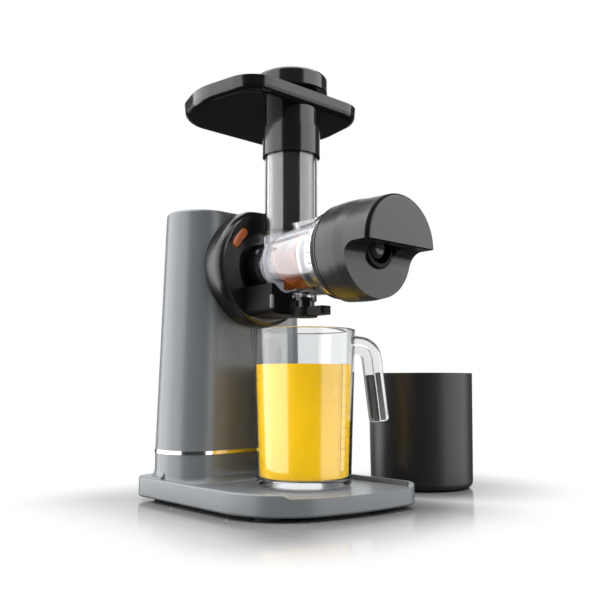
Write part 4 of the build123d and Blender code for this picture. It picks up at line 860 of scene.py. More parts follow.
# Light grey of the bracket's corner rib: a painted highlight of the rounded corner, not the part's
# own colour.
RIB_HIGHLIGHT_GREY = SatinPlastic("satin_rib_painted_highlight", Slot.DARK_PLASTIC, (0.20, 0.20, 0.204), 0.35,
                        0.4 * MM, 0.006 * MM)
MARK_GREY = SatinPlastic("printed_mark_grey", Slot.DARK_PLASTIC, (0.42, 0.30, 0.10), 0.4,
                         0.3 * MM, 0.004 * MM)
MARK_WHITE = SatinPlastic("moulded_mark_white", Slot.WHITE_PLASTIC, (0.55, 0.55, 0.55), 0.4,
                          0.3 * MM, 0.004 * MM)
NYLON = SatinPlastic("natural_nylon", Slot.WHITE_PLASTIC, (0.66, 0.64, 0.58), 0.4,
                     0.9 * MM, 0.02 * MM)
MAGNET = SatinPlastic("ferrite_magnet", Slot.MAGNET, (0.035, 0.034, 0.036), 0.55,
                      0.3 * MM, 0.03 * MM)
PIANO_BLACK = GlossPlastic("piano_black", Slot.GLOSS_BLACK, (0.0065, 0.0065, 0.0072), 0.07)
TRAY_BLACK = GlossPlastic("tray_black", Slot.GLOSS_BLACK, (0.006, 0.006, 0.0066), 0.15)
TAMPER_GREY = GlossPlastic("tamper_charcoal", Slot.DARK_PLASTIC, (0.010, 0.010, 0.011), 0.13)
CLEAR = ClearPlastic("clear_copolyester", Slot.CLEAR_PLASTIC)
CHAMBER_CLEAR = ChamberPlastic("clear_copolyester_frosted_neck", Slot.CLEAR_PLASTIC)
AMBER = TintedPlastic("amber_screw_plastic", Slot.AMBER_PLASTIC, (0.36, 0.095, 0.016), 0.22, 0.15)
AMBER_KEY = TintedPlastic("amber_key_plastic", Slot.AMBER_PLASTIC, (0.62, 0.17, 0.045), 0.12, 0.1)
FOAM = TintedPlastic("juice_foam", Slot.AMBER_PLASTIC, (0.95, 0.68, 0.12), 0.18, 0.3)
JUICE = OrangeJuice("orange_juice", Slot.AMBER_PLASTIC)
BRIGHT = Metal("bright_trim_plating", Slot.BRIGHT_TRIM, (0.86, 0.86, 0.87), 0.10,
               (1.0, 1.0, 0.05), 0.002 * MM)
STEEL = Metal("brushed_steel", Slot.STEEL, (0.56, 0.56, 0.55), 0.26, (0.06, 1.0, 1.0))
SCREEN_STEEL = Metal("strainer_steel", Slot.STEEL, (0.60, 0.60, 0.59), 0.2, (0.05, 1.0, 1.0))
ZINC = Metal("zinc_plated_steel", Slot.STEEL, (0.62, 0.61, 0.57), 0.3, (1.0, 1.0, 0.2))
RUBBER = SoftRubber("black_rubber", Slot.RUBBER)
BOARD = CircuitBoard("circuit_board", Slot.BOARD_GREEN)
COPPER = CopperWire("enamelled_copper", Slot.WINDING)


# ---- meshes ----
def rounded(corners: Sequence[Triple], step: float = 12.0) -> list[Pair]:
    """An open outline with its corners rounded.

    Args:
        corners: place of each corner and the radius of its round, in metres.
        step: most degrees that one piece of a round turns.

    Returns:
        The outline's points in order.
    """
    points: list[Pair] = []
    for index, (x, y, radius) in enumerate(corners):
        here = Vector((x, y))
        if radius <= 0 or index in (0, len(corners) - 1):
            points.append((x, y))
            continue
        back = (Vector(corners[index - 1][:2]) - here).normalized()
        ahead = (Vector(corners[index + 1][:2]) - here).normalized()
        half = back.angle(ahead) / 2
        reach = radius / math.tan(half)
        middle = here + (back + ahead).normalized() * radius / math.sin(half)
        start, end = here + back * reach - middle, here + ahead * reach - middle
        turn = start.angle_signed(end)
        count = max(2, math.ceil(abs(math.degrees(turn)) / step))
        for part in range(count + 1):
            spoke = start.copy()
            spoke.rotate(Matrix.Rotation(-turn * part / count, 2))
            points.append(tuple(middle + spoke))
    return points


def divided(points: Sequence[Pair], step: float) -> list[Pair]:
    """An outline whose long runs are cut into pieces.

    Args:
        points: the outline in order.
        step: longest piece, in metres.

    Returns:
        The outline with more points.
    """
    cut = [points[0]]
    for start, end in zip(points, points[1:]):
        count = max(1, math.ceil(math.dist(start, end) / step))
        for part in range(1, count + 1):
            cut.append(tuple(Vector(start).lerp(Vector(end), part / count)))
    return cut


def mesh_from(name: str, shape: bmesh.types.BMesh) -> bpy.types.Mesh:
    """Close a bmesh into a mesh that is smooth except at its sharp edges.

    Args:
        name: name of the mesh.
        shape: the bmesh, which is freed.

    Returns:
        The mesh.
    """
    bmesh.ops.remove_doubles(shape, verts=shape.verts, dist=MERGE_DISTANCE)
    bmesh.ops.recalc_face_normals(shape, faces=shape.faces)
    for face in shape.faces:
        face.smooth = True
    sharp = math.radians(MESH_SHARP_ANGLE)
    for edge in shape.edges:
        edge.smooth = len(edge.link_faces) != 2 or edge.calc_face_angle(0.0) < sharp
    mesh = bpy.data.meshes.new(name)
    shape.to_mesh(mesh)
    shape.free()
    return mesh


def turned(name: str, outline: Sequence[Pair], centre: Pair, segments: int = 128,
           reach: Callable[[float, float, float], float] | None = None) -> bpy.types.Mesh:
    """A mesh turned about an upright axis.

    Args:
        name: name of the mesh.
        outline: radius and height of each ring, which starts and ends on the axis or on itself.
        centre: place of the axis.
        segments: steps round the axis.
        reach: gives a ring point's radius from its radius, angle and height.

    Returns:
        The closed mesh.
    """
    grid = bmesh.new()
    rings = []
    for radius, height in outline:
        ring = []
        for part in range(1 if radius < ON_AXIS else segments):
            angle = 2 * math.pi * part / segments
            out = reach(radius, angle, height) if reach else radius
            place = (centre[0] + out * math.cos(angle), centre[1] + out * math.sin(angle), height)
            ring.append(grid.verts.new(place))
        rings.append(ring)
    for low, high in zip(rings, rings[1:]):
        for part in range(segments):
            after = (part + 1) % segments
            corners = [low[part % len(low)], low[after % len(low)],
                       high[after % len(high)], high[part % len(high)]]
            distinct = list(dict.fromkeys(corners))
            if len(distinct) > 2:
                grid.faces.new(distinct)
    return mesh_from(name, grid)


def swept(name: str, rings: Sequence[Sequence[Triple]]) -> bpy.types.Mesh:
    """A closed bar through rings of equally many points.

    Args:
        name: name of the mesh.
        rings: points of each ring in order along the bar.

    Returns:
        The mesh, with both ends closed.
    """
    bar = bmesh.new()
    loops = [[bar.verts.new(point) for point in ring] for ring in rings]
    for near, far in zip(loops, loops[1:]):
        for part, corner in enumerate(near):
            after = (part + 1) % len(near)
            bar.faces.new([corner, near[after], far[after], far[part]])
    for loop in (loops[0], loops[-1]):
        bar.faces.new(loop)
    return mesh_from(name, bar)


# ---- what repeats ----
@dataclass
class PanScrews:
    """Pan-head screws with a cross recess, one at each place."""

    shank_radius: float = 1.5 * MM
    head_radius: float = 3.0 * MM
    head_height: float = 2.2 * MM
    head_sides: int = 32
    head_rings: int = 4
    face_share: float = 0.72
    face_slope: float = 0.84
    recess_arms: tuple[Triple, ...] = ((1.1, 0.24, 0.9), (0.24, 1.1, 1.04))
    shank_sides: int = 24
    shank_sink: float = 0.4

    def mesh(self, name: str, places: Sequence[Triple], length: float,
             tilt: float = 0.0) -> bpy.types.Mesh:
        """Screws at places.

        Args:
            name: name of the mesh.
            places: middle of each head's outer face.
            length: length of the shank.
            tilt: turn about Y, which is 0 for heads that face down.

        Returns:
            The mesh of all the screws.
        """
        tree = Recipe("pan_screws", {
            "Head Radius": self.head_radius, "Head Height": self.head_height,
            "Shank Radius": self.shank_radius, "Length": length, "Tilt": math.radians(tilt)})
        screw = tree.together(self.head(tree), self.shank(tree))
        turn = tree.joined(0.0, tree.size("Tilt"), 0.0)
        tree.close(tree.at_points(tree.size("Geometry"), screw, Rotation=turn))
        return tree.bake(name, ZINC, places)

    def head(self, tree: Recipe) -> Wire:
        """A disc that narrows to its outer face, less the two arms of the cross.

        Args:
            tree: tree that the nodes are added to.

        Returns:
            The head.
        """
        radius, height = tree.size("Head Radius"), tree.size("Head Height")
        disc = tree.moved(tree.node("GeometryNodeMeshCylinder", inputs={
            "Vertices": self.head_sides, "Side Segments": self.head_rings, "Radius": radius,
            "Depth": height}), 0.0, 0.0, height * 0.5)
        x, y, z = tree.split(tree.node("GeometryNodeInputPosition"))
        share = tree.maths("MINIMUM", 1.0, self.face_share + z / height * self.face_slope)
        knob = tree.placed(disc, tree.joined(x * share, y * share, z))
        for long, wide, deep in self.recess_arms:
            arm = tree.node("GeometryNodeMeshCube", inputs={
                "Size": tree.joined(radius * long, radius * wide, height * deep)})
            knob = tree.node("GeometryNodeMeshBoolean", {"operation": "DIFFERENCE"},
                             {0: knob, 1: arm})
        return knob

    def shank(self, tree: Recipe) -> Wire:
        """A pin that starts inside the head.

        Args:
            tree: tree that the nodes are added to.

        Returns:
            The shank.
        """
        height, length = tree.size("Head Height"), tree.size("Length")
        pin = tree.node("GeometryNodeMeshCylinder", inputs={
            "Vertices": self.shank_sides, "Radius": tree.size("Shank Radius"),
            "Depth": length + height * self.shank_sink})
        return tree.moved(pin, 0.0, 0.0, height * (1.0 - self.shank_sink / 2) + length * 0.5)


@dataclass
class FillMarks:
    """Raised lines up the jug's wall, every second one longer, on an upright line."""

    count: int = 11
    first_z: float = 35.0 * MM
    spacing: float = 10.0 * MM
    long_mark: float = 9.0 * MM
    short_cut: float = 0.45
    pieces: int = 8
    thickness: float = 0.5 * MM
    depth: float = 0.22 * MM

    def mesh(self, name: str, radius_low: float, slope: float, azimuth: float,
             centre: Pair) -> bpy.types.Mesh:
        """Marks that are bent round a tapered wall.

        Args:
            name: name of the mesh.
            radius_low: radius of the wall at height 0.
            slope: growth of the radius for each metre of height.
            azimuth: direction of the marks' upright line, in degrees.
            centre: place of the wall's axis.

        Returns:
            The mesh of all the marks.
        """
        tree = Recipe("fill_marks", {
            "Count": self.count, "First Height": self.first_z, "Spacing": self.spacing,
            "Mark Length": self.long_mark, "Thickness": self.thickness, "Depth": self.depth,
            "Wall Radius": radius_low, "Wall Slope": slope, "Azimuth": math.radians(azimuth),
            "Middle X": centre[0], "Middle Y": centre[1]})
        flat = tree.together(self.ticks(tree), self.rule(tree))
        x, y, z = tree.split(tree.node("GeometryNodeInputPosition"))
        radius = tree.size("Wall Radius") + tree.size("Wall Slope") * z
        bent = tree.around(radius + x, tree.size("Azimuth") + y / radius, z)
        tree.close(tree.placed(flat, bent))
        return tree.bake(name, MARK_GREY)

    def ticks(self, tree: Recipe) -> Wire:
        """Level marks above each other.

        Args:
            tree: tree that the nodes are added to.

        Returns:
            The marks, before they are bent.
        """
        rows = tree.node("GeometryNodeMeshLine", inputs={
            "Count": tree.size("Count"), "Offset": tree.joined(0.0, 0.0, tree.size("Spacing")),
            "Start Location": tree.joined(0.0, 0.0, tree.size("First Height"))})
        size = tree.joined(tree.size("Depth") * 2, tree.size("Mark Length"), tree.size("Thickness"))
        mark = tree.node("GeometryNodeMeshCube", inputs={"Size": size, "Vertices Y": self.pieces})
        mark = tree.moved(mark, 0.0, tree.size("Mark Length") * 0.5, 0.0)
        odd = tree.maths("MODULO", tree.node("GeometryNodeInputIndex"), 2.0)
        scale = tree.joined(1.0, 1.0 - odd * self.short_cut, 1.0)
        marks = tree.at_points(rows, mark, Scale=scale)
        return tree.node("GeometryNodeRealizeInstances", inputs={"Geometry": marks})

    def rule(self, tree: Recipe) -> Wire:
        """The upright line that the marks start from.

        Args:
            tree: tree that the nodes are added to.

        Returns:
            The line, before it is bent.
        """
        height = tree.size("Spacing") * (tree.size("Count") - 1.0)
        thickness = tree.size("Thickness")
        size = tree.joined(tree.size("Depth") * 2, thickness, height + thickness)
        line = tree.node("GeometryNodeMeshCube", inputs={"Size": size})
        return tree.moved(line, 0.0, 0.0, tree.size("First Height") + height * 0.5)


@dataclass
class Bubbles:
    """Froth where the juice meets the wall, and a few loose bubbles."""

    count: int = 230
    seed: int = 7
    small: float = 0.35 * MM
    large: float = 1.15 * MM
    band: float = 7.0 * MM
    rarity_of_large: float = 3.0
    rarity_of_loose: float = 4.0
    flatness: float = 0.75
    sides: int = 10
    rings: int = 6

    def mesh(self, name: str, radius: float, height: float, centre: Pair) -> bpy.types.Mesh:
        """Bubbles round the edge of a round surface.

        Args:
            name: name of the mesh.
            radius: radius of the surface.
            height: height of the surface.
            centre: its middle.

        Returns:
            The mesh of all the bubbles.
        """
        tree = Recipe("bubbles", {
            "Count": self.count, "Seed": self.seed, "Radius": radius, "Height": height,
            "Smallest": self.small, "Largest": self.large, "Band": self.band,
            "Middle X": centre[0], "Middle Y": centre[1]})
        points = tree.node("GeometryNodeMeshLine", inputs={"Count": tree.size("Count")})
        turn, bulk, stray = (tree.node("FunctionNodeRandomValue", {"data_type": "FLOAT"},
                                       {"Seed": tree.size("Seed") + step}, 1) for step in range(3))
        smallest = tree.size("Smallest")
        size = smallest + (tree.size("Largest") - smallest) * bulk ** self.rarity_of_large
        out = tree.size("Radius") - size - tree.size("Band") * stray ** self.rarity_of_loose
        place = tree.around(out, turn * (2 * math.pi), tree.size("Height"))
        ball = tree.node("GeometryNodeMeshUVSphere", inputs={
            "Segments": self.sides, "Rings": self.rings, "Radius": 1.0})
        scale = tree.joined(size, size, size * self.flatness)
        tree.close(tree.at_points(tree.placed(points, place), ball, Scale=scale))
        return tree.bake(name, FOAM)


def add_piece(name: str, mesh: bpy.types.Mesh, finish: Finish, body: str,
              replaced: Sequence[str] = ()) -> None:
    """Put a finished mesh into the scene.

    Args:
        name: name of the piece.
        mesh: its mesh, in place.
        finish: what it is made of.
        body: moving body that it rides on.
        replaced: CAD nodes that it stands for.
    """
    piece = bpy.data.objects.new(name, mesh)
    bpy.context.scene.collection.objects.link(piece)
    mesh.materials.clear()
    mesh.materials.append(finish.material())
    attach(piece, body)
    if replaced:
        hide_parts(*replaced)
    log.info("%s: %d faces on %s", name, len(mesh.polygons), body)


def dress(finish: Finish, *nodes: str) -> None:
    """Give CAD pieces a finish.

    Args:
        finish: what they are made of.
        nodes: their names.
    """
    for node in nodes:
        for material_slot in frame["nodes"][node].material_slots:
            material_slot.material = finish.material()
        log.info("%s: dressed in %s", node, finish.name)


# ---- sub-assemblies ----
@dataclass
class Platform:
    """The flat base with its cover, feet and cord bush."""

    screw_places: tuple[Pair, ...] = (
        (-86.0 * MM, -76.0 * MM), (-86.0 * MM, 76.0 * MM),
        (30.4 * MM, 74.0 * MM), (0.4 * MM, -74.0 * MM))

    def build(self) -> None:
        """Put the bottom cover's screws in, heads down."""
        screws = PanScrews()
        low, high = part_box("base_screws")
        places = [(x, y, low.z) for x, y in self.screw_places]
        mesh = screws.mesh("cover_screws", places, high.z - low.z - screws.head_height)
        add_piece("cover_screws", mesh, ZINC, "base", ["base_screws"])

    def dress(self) -> None:
        """Finish the base's pieces."""
        dress(SPACE_GREY, "base_shell")
        dress(INNER_GREY, "base_plate")
        dress(RUBBER, "feet", "cord_gland")
        dress(BRIGHT, "trim_ring")


@dataclass
class Tower:
    """The motor tower with its controls."""

    mark_reach: float = 3.4 * MM
    mark_tail: float = 0.5
    mark_spread: float = 0.87
    mark_round: float = 0.7 * MM
    mark_step: float = 20.0
    mark_sink: float = 0.1 * MM
    mark_rise: float = 0.22 * MM

    def build(self) -> None:
        """Raise an arrow on each key, forward on start and backward on reverse."""
        for key, ahead in (("start", 1.0), ("reverse", -1.0)):
            low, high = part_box(f"{key}_button")
            middle, reach = (low + high) / 2, self.mark_reach * ahead
            tail, side = -reach * self.mark_tail, reach * self.mark_spread
            corners = [(tail, 0.0, 0.0), (tail, side, self.mark_round),
                       (reach, 0.0, self.mark_round), (tail, -side, self.mark_round),
                       (tail, 0.0, 0.0)]
            outline = rounded(corners, self.mark_step)[:-1]
            rings = [[(middle.x + x, middle.y + y, high.z + height) for x, y in outline]
                     for height in (-self.mark_sink, self.mark_rise)]
            add_piece(f"{key}_arrow", swept(f"{key}_arrow", rings), MARK_WHITE, f"{key}_key")

    def dress(self) -> None:
        """Finish the housing, the keys and the boards."""
        dress(SPACE_GREY, "tower_shell")
        dress(PIANO_BLACK, "control_panel")
        dress(CAP_GREY, "start_button", "reverse_button")
        dress(STEEL, "start_spring", "reverse_spring")
        dress(BOARD, "switch_board", "control_board")


@dataclass
class DriveTrain:
    """The motor and its three gear stages."""

    def dress(self) -> None:
        """Finish the gearbox and the motor."""
        dress(INNER_GREY, "gearbox_front", "gearbox_rear", "motor_end")
        dress(STEEL, "gearbox_posts", "gearbox_screws", "idler_pins", "motor_pinion", "motor_shaft",
              "motor_can", "motor_bearings", "drive_shaft", "front_bearing", "rear_bearing")
        dress(NYLON, "output_gear", "second_gear", "first_gear")
        dress(COPPER, "armature")
        dress(MAGNET, "motor_magnets")
        dress(RUBBER, "shaft_seal")


@dataclass
class DrumMount:
    """The collar on the tower's front that carries the drum."""

    drum_z: float = 234.3 * MM
    screw_circle: float = 42.0 * MM
    screw_angles: tuple[float, ...] = (20.0, 200.0, 250.0, 290.0)
    key_radius: float = 44.5 * MM
    key_angle: float = 142.0
    key_arc: float = 20.0
    key_width: float = 9.5 * MM
    side_steps: int = 6
    end_steps: int = 8
    lip_x: float = -40.05 * MM
    lip_width: float = 0.6 * MM
    lip_thickness: float = 2.0 * MM
    dome_height: float = 1.7 * MM
    dome_inset: float = 3.4 * MM
    dome_angles: tuple[float, ...] = (0.0, 20.0, 40.0, 60.0, 78.0, 90.0)
    rib_centre: Pair = (3.4 * MM, -27.4 * MM)
    rib_radius: float = 2.0 * MM
    rib_round: float = 1.0 * MM
    rib_low: float = 188.5 * MM
    rib_high: float = 201.0 * MM
    rib_segments: int = 40

    def build(self) -> None:
        """Build the collar's screws, the release key and the bracket's rib, whose light grey is a
        painted highlight.
        """
        self.build_screws()
        self.build_key()
        self.build_rib()

    def build_screws(self) -> None:
        """Put the collar's screws in from inside the tower."""
        screws = PanScrews()
        low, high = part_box("bezel_screws")
        circle = self.screw_circle
        spokes = [math.radians(angle) for angle in self.screw_angles]
        places = [(low.x, circle * math.cos(spoke), self.drum_z + circle * math.sin(spoke))
                  for spoke in spokes]
        mesh = screws.mesh("collar_screws", places, high.x - low.x - screws.head_height, 90.0)
        add_piece("collar_screws", mesh, ZINC, "base", ["bezel_screws"])

    def pill(self, x: float, half_width: float) -> list[Triple]:
        """A ring of points round the key's curved outline.

        Args:
            x: place of the ring along the drum's axis.
            half_width: half of the outline's width.

        Returns:
            The ring's points.
        """
        middle, half_arc = math.radians(self.key_angle), math.radians(self.key_arc / 2)
        points: list[Pair] = []
        for side in (1, -1):
            reach = self.key_radius + side * half_width
            for step in range(-self.side_steps, self.side_steps + 1):
                spoke = middle + side * half_arc * step / self.side_steps
                points.append((reach * math.cos(spoke), reach * math.sin(spoke)))
            end = middle + side * half_arc
            for step in range(1, self.end_steps):
                turn = end + math.pi * step / self.end_steps + (0.0 if side > 0 else math.pi)
                points.append((self.key_radius * math.cos(end) + half_width * math.cos(turn),
                               self.key_radius * math.sin(end) + half_width * math.sin(turn)))
        return [(x, y, self.drum_z + z) for y, z in points]

    def build_key(self) -> None:
        """Shape the release key: a lip behind the collar's face and a domed front."""
        low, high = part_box("release_button")
        half, lip_rear = self.key_width / 2, self.lip_x - self.lip_thickness
        rings = [(low.x, half), (lip_rear, half), (lip_rear, half + self.lip_width),
                 (self.lip_x, half + self.lip_width), (self.lip_x, half)]
        for angle in self.dome_angles:
            tilt = math.radians(angle)
            rings.append((high.x - self.dome_height * (1 - math.sin(tilt)),
                          half - self.dome_inset * (1 - math.cos(tilt))))
        mesh = swept("release_key_cap", [self.pill(*ring) for ring in rings])
        add_piece("release_key_cap", mesh, AMBER_KEY, "release_key", ["release_button"])

    def build_rib(self) -> None:
        """A rounded rib up the bracket's front corner, lighter than the bracket as a painted
        highlight of that corner.
        """
        radius, low, high = self.rib_radius, self.rib_low, self.rib_high
        corners = [(0.0, low, 0.0), (radius, low, self.rib_round), (radius, high, self.rib_round),
                   (0.0, high, 0.0)]
        mesh = turned("cradle_highlight_rib", rounded(corners), self.rib_centre, self.rib_segments)
        add_piece("cradle_highlight_rib", mesh, RIB_HIGHLIGHT_GREY, "base")

    def dress(self) -> None:
        """Finish the collar, the socket and the bracket."""
        dress(BEZEL_BLACK, "bezel")
        dress(PIANO_BLACK, "drive_hub")
        dress(MATT_BLACK, "drum_cradle")
        dress(STEEL, "release_spring")


@dataclass
class Drum:
    """The clear juicing chamber, its screw and its strainer."""

    def dress(self) -> None:
        """Finish the chamber and what turns in it."""
        dress(CHAMBER_CLEAR, "juicing_chamber")
        dress(RUBBER, "chamber_seal")
        dress(AMBER, "auger")
        dress(TIP_GREY, "auger_tip")
        dress(SCREEN_STEEL, "strainer")
        dress(TRAY_BLACK, "outlet_nozzle")
        dress(MATT_BLACK, "drip_lever")


@dataclass
class EndCap:
    """The hooded cap over the pulp outlet."""

    def dress(self) -> None:
        """Finish the cap, its seal and the outlet's ring."""
        dress(CAP_GREY, "end_cap")
        dress(RUBBER, "cap_seal")
        dress(MATT_BLACK, "outlet_ring")


@dataclass
class FeedTray:
    """The tray on top of the feed tube, and the tamper."""

    def dress(self) -> None:
        """Finish the tray and the tamper."""
        dress(TRAY_BLACK, "hopper")
        dress(TAMPER_GREY, "tamper_stem", "tamper_cap")


@dataclass
class JuiceJug:
    """The clear jug with its spout and hook handle, and the juice in it."""

    centre: Pair = (0.0, 17.0 * MM)
    bottom_z: float = 19.2 * MM
    rim_z: float = 169.6 * MM
    bottom_radius: float = 45.8 * MM
    rim_radius: float = 51.2 * MM
    wall: float = 2.6 * MM
    lip_share: float = 0.48
    floor_z: float = 26.2 * MM
    edge: float = 3.0 * MM
    edge_step: float = 15.0
    wall_step: float = 3.0 * MM
    wall_segments: int = 240
    foot_width: float = 5.0 * MM
    foot_depth: float = 1.0 * MM
    spout_angle: float = 228.0
    spout_reach: float = 2.0 * MM
    spout_radius: float = 15.0 * MM
    spout_height: float = 26.0 * MM
    spout_inner_share: float = 0.8
    handle_angle: float = 48.0
    handle_path: tuple[Pair, ...] = (
        (50.6 * MM, 154.0 * MM), (65.6 * MM, 152.0 * MM), (73.8 * MM, 80.0 * MM))
    handle_bend: float = 13.0 * MM
    bend_step: float = 6.0
    path_step: float = 6.0 * MM
    handle_width: float = 14.0 * MM
    handle_depth: float = 19.0 * MM
    handle_gap: float = 0.02 * MM
    back_round: float = 3.0 * MM
    front_round: float = 1.4 * MM
    groove_width: float = 7.0 * MM
    groove_depth: float = 11.0 * MM
    groove_taper: float = 0.8 * MM
    groove_round: float = 1.5 * MM
    section_step: float = 22.5
    tip_round: float = 2.6 * MM
    tip_angles: tuple[float, ...] = (0.0, 30.0, 60.0, 80.0)
    juice_z: float = 134.5 * MM
    juice_gap: float = 0.3 * MM
    juice_step: float = 6.0 * MM
    creep: tuple[Pair, ...] = ((0.0, 0.5 * MM), (-0.8 * MM, 0.1 * MM), (-2.0 * MM, 0.0))
    marks_azimuth: float = 4.0

    def slope(self) -> float:
        """Growth of the outside radius for each metre of height."""
        return (self.rim_radius - self.bottom_radius) / (self.rim_z - self.bottom_z)

    def outer_radius(self, height: float) -> float:
        """Radius of the jug's outside at a height."""
        return self.bottom_radius + self.slope() * (height - self.bottom_z)

    def with_spout(self, radius: float, angle: float, height: float) -> float:
        """Radius of a ring point where the spout pushes it out.

        Args:
            radius: radius without the spout.
            angle: direction from the jug's axis, in radians.
            height: height of the point.

        Returns:
            The radius with the spout.
        """
        rise = (height - self.rim_z) / self.spout_height + 1.0
        if rise <= 0.0 or radius < self.spout_inner_share * self.bottom_radius:
            return radius
        outer = self.outer_radius(height)
        spout = self.spout_radius * rise
        reach = outer - spout + self.spout_reach * rise
        aside = reach * math.sin(angle - math.radians(self.spout_angle))
        ahead = math.cos(angle - math.radians(self.spout_angle))
        if ahead <= 0.0 or abs(aside) >= spout:
            return radius
        return radius + max(0.0, reach * ahead + math.sqrt(spout ** 2 - aside ** 2) - outer)

    def build(self) -> None:
        """Build the jug, its handle and marks, and pour the juice."""
        self.build_body()
        self.build_handle()
        self.build_juice()
        marks = FillMarks().mesh("fill_marks", self.outer_radius(0.0), self.slope(),
                                 self.marks_azimuth, self.centre)
        add_piece("fill_marks", marks, MARK_GREY, "juice_jug")

    def build_body(self) -> None:
        """Turn the wall, with a foot ring, a rounded rim and a thick floor."""
        low, foot = self.bottom_z, self.foot_depth
        inside = self.outer_radius(self.floor_z) - self.wall
        hollow = self.bottom_radius - self.edge - self.foot_width
        lip = self.wall * self.lip_share
        corners = [(0.0, low + foot, 0.0), (hollow, low + foot, foot),
                   (hollow + foot, low, foot / 2), (self.bottom_radius, low, self.edge),
                   (self.rim_radius, self.rim_z, lip),
                   (self.rim_radius - self.wall, self.rim_z, lip),
                   (inside, self.floor_z, self.edge), (0.0, self.floor_z, 0.0)]
        outline = divided(rounded(corners, self.edge_step), self.wall_step)
        mesh = turned("jug_body", outline, self.centre, self.wall_segments, self.with_spout)
        add_piece("jug_body", mesh, CLEAR, "juice_jug", ["jug"])

    def handle_section(self) -> list[Pair]:
        """Outline across the handle, with the groove on the jug's side.

        Returns:
            Points across and along the bar's width, in order.
        """
        wide, deep, groove = self.handle_width / 2, self.handle_depth / 2, self.groove_width / 2
        bed = deep - self.groove_depth
        corners = [(-deep, 0.0, 0.0), (-deep, wide, self.back_round),
                   (deep, wide, self.front_round), (deep, groove, self.front_round),
                   (bed, groove - self.groove_taper, self.groove_round), (bed, 0.0, 0.0)]
        half = rounded(corners, self.section_step)
        return half + [(across, -along) for across, along in reversed(half[1:-1])]

    def build_handle(self) -> None:
        """Sweep a bar, grooved on the side of the jug, out from the rim and down."""
        start, elbow, end = self.handle_path
        corners = [(*start, 0.0), (*elbow, self.handle_bend), (*end, 0.0)]
        path = divided(rounded(corners, self.bend_step), self.path_step)
        section = self.handle_section()
        azimuth = math.radians(self.handle_angle)
        forth, aside = math.cos(azimuth), math.sin(azimuth)
        last = len(path) - 1
        rings = []
        for index, (out, height) in enumerate(path):
            ahead = Vector(path[min(index + 1, last)]) - Vector(path[max(index - 1, 0)])
            ahead.normalize()
            ring = []
            for across, along in section:
                radius, z = out + across * ahead.y, height - across * ahead.x
                if index == 0:
                    radius = math.sqrt(self.outer_radius(z) ** 2 - along ** 2) + self.handle_gap
                ring.append((self.centre[0] + radius * forth - along * aside,
                             self.centre[1] + radius * aside + along * forth, z))
            rings.append(ring)
        mesh = swept("jug_grip", self.round_tip(rings))
        add_piece("jug_grip", mesh, CLEAR, "juice_jug", ["jug_handle"])

    def round_tip(self, rings: list[list[Triple]]) -> list[Sequence[Triple]]:
        """Round the handle's free end off.

        Args:
            rings: rings of the bar, of which the last is replaced.

        Returns:
            The rings with those of the round end.
        """
        *kept, tip = rings
        middle = sum((Vector(point) for point in tip), Vector()) / len(tip)
        down = (Vector(tip[0]) - Vector(kept[-1][0])).normalized()
        for angle in map(math.radians, self.tip_angles):
            shrink = 1.0 - self.tip_round * (1 - math.cos(angle)) / (self.handle_width / 2)
            back = self.tip_round * (math.sin(angle) - 1.0)
            kept.append([tuple(middle + (Vector(point) - middle) * shrink + down * back)
                         for point in tip])
        return kept

    def build_juice(self) -> None:
        """Pour the juice, a hair clear of the wall, with froth round its edge."""
        low, high = self.floor_z + self.juice_gap, self.juice_z
        inside, top = (self.outer_radius(height) - self.wall - self.juice_gap
                       for height in (low, high))
        surface = [(top + out, high + lift) for out, lift in self.creep]
        side = rounded([(0.0, low, 0.0), (inside, low, self.edge), (*surface[0], 0.0)])
        outline = [*divided(side, self.juice_step), *surface[1:], (0.0, high)]
        add_piece("orange_juice", turned("orange_juice", outline, self.centre), JUICE, "juice_jug")
        froth = Bubbles().mesh("juice_froth", top, high, self.centre)
        add_piece("juice_froth", froth, FOAM, "juice_jug")


@dataclass
class PulpCup:
    """The dark cup that stands beside the base."""

    def dress(self) -> None:
        """Finish the cup."""
        dress(CUP_BLACK, "pulp_cup")


# ---- studio ----
@dataclass(frozen=True)
class SoftBox:
    """A light between two directions, in degrees to the right of straight away from the camera."""

    start: float
    end: float
    strength: float
    raised: bool = False


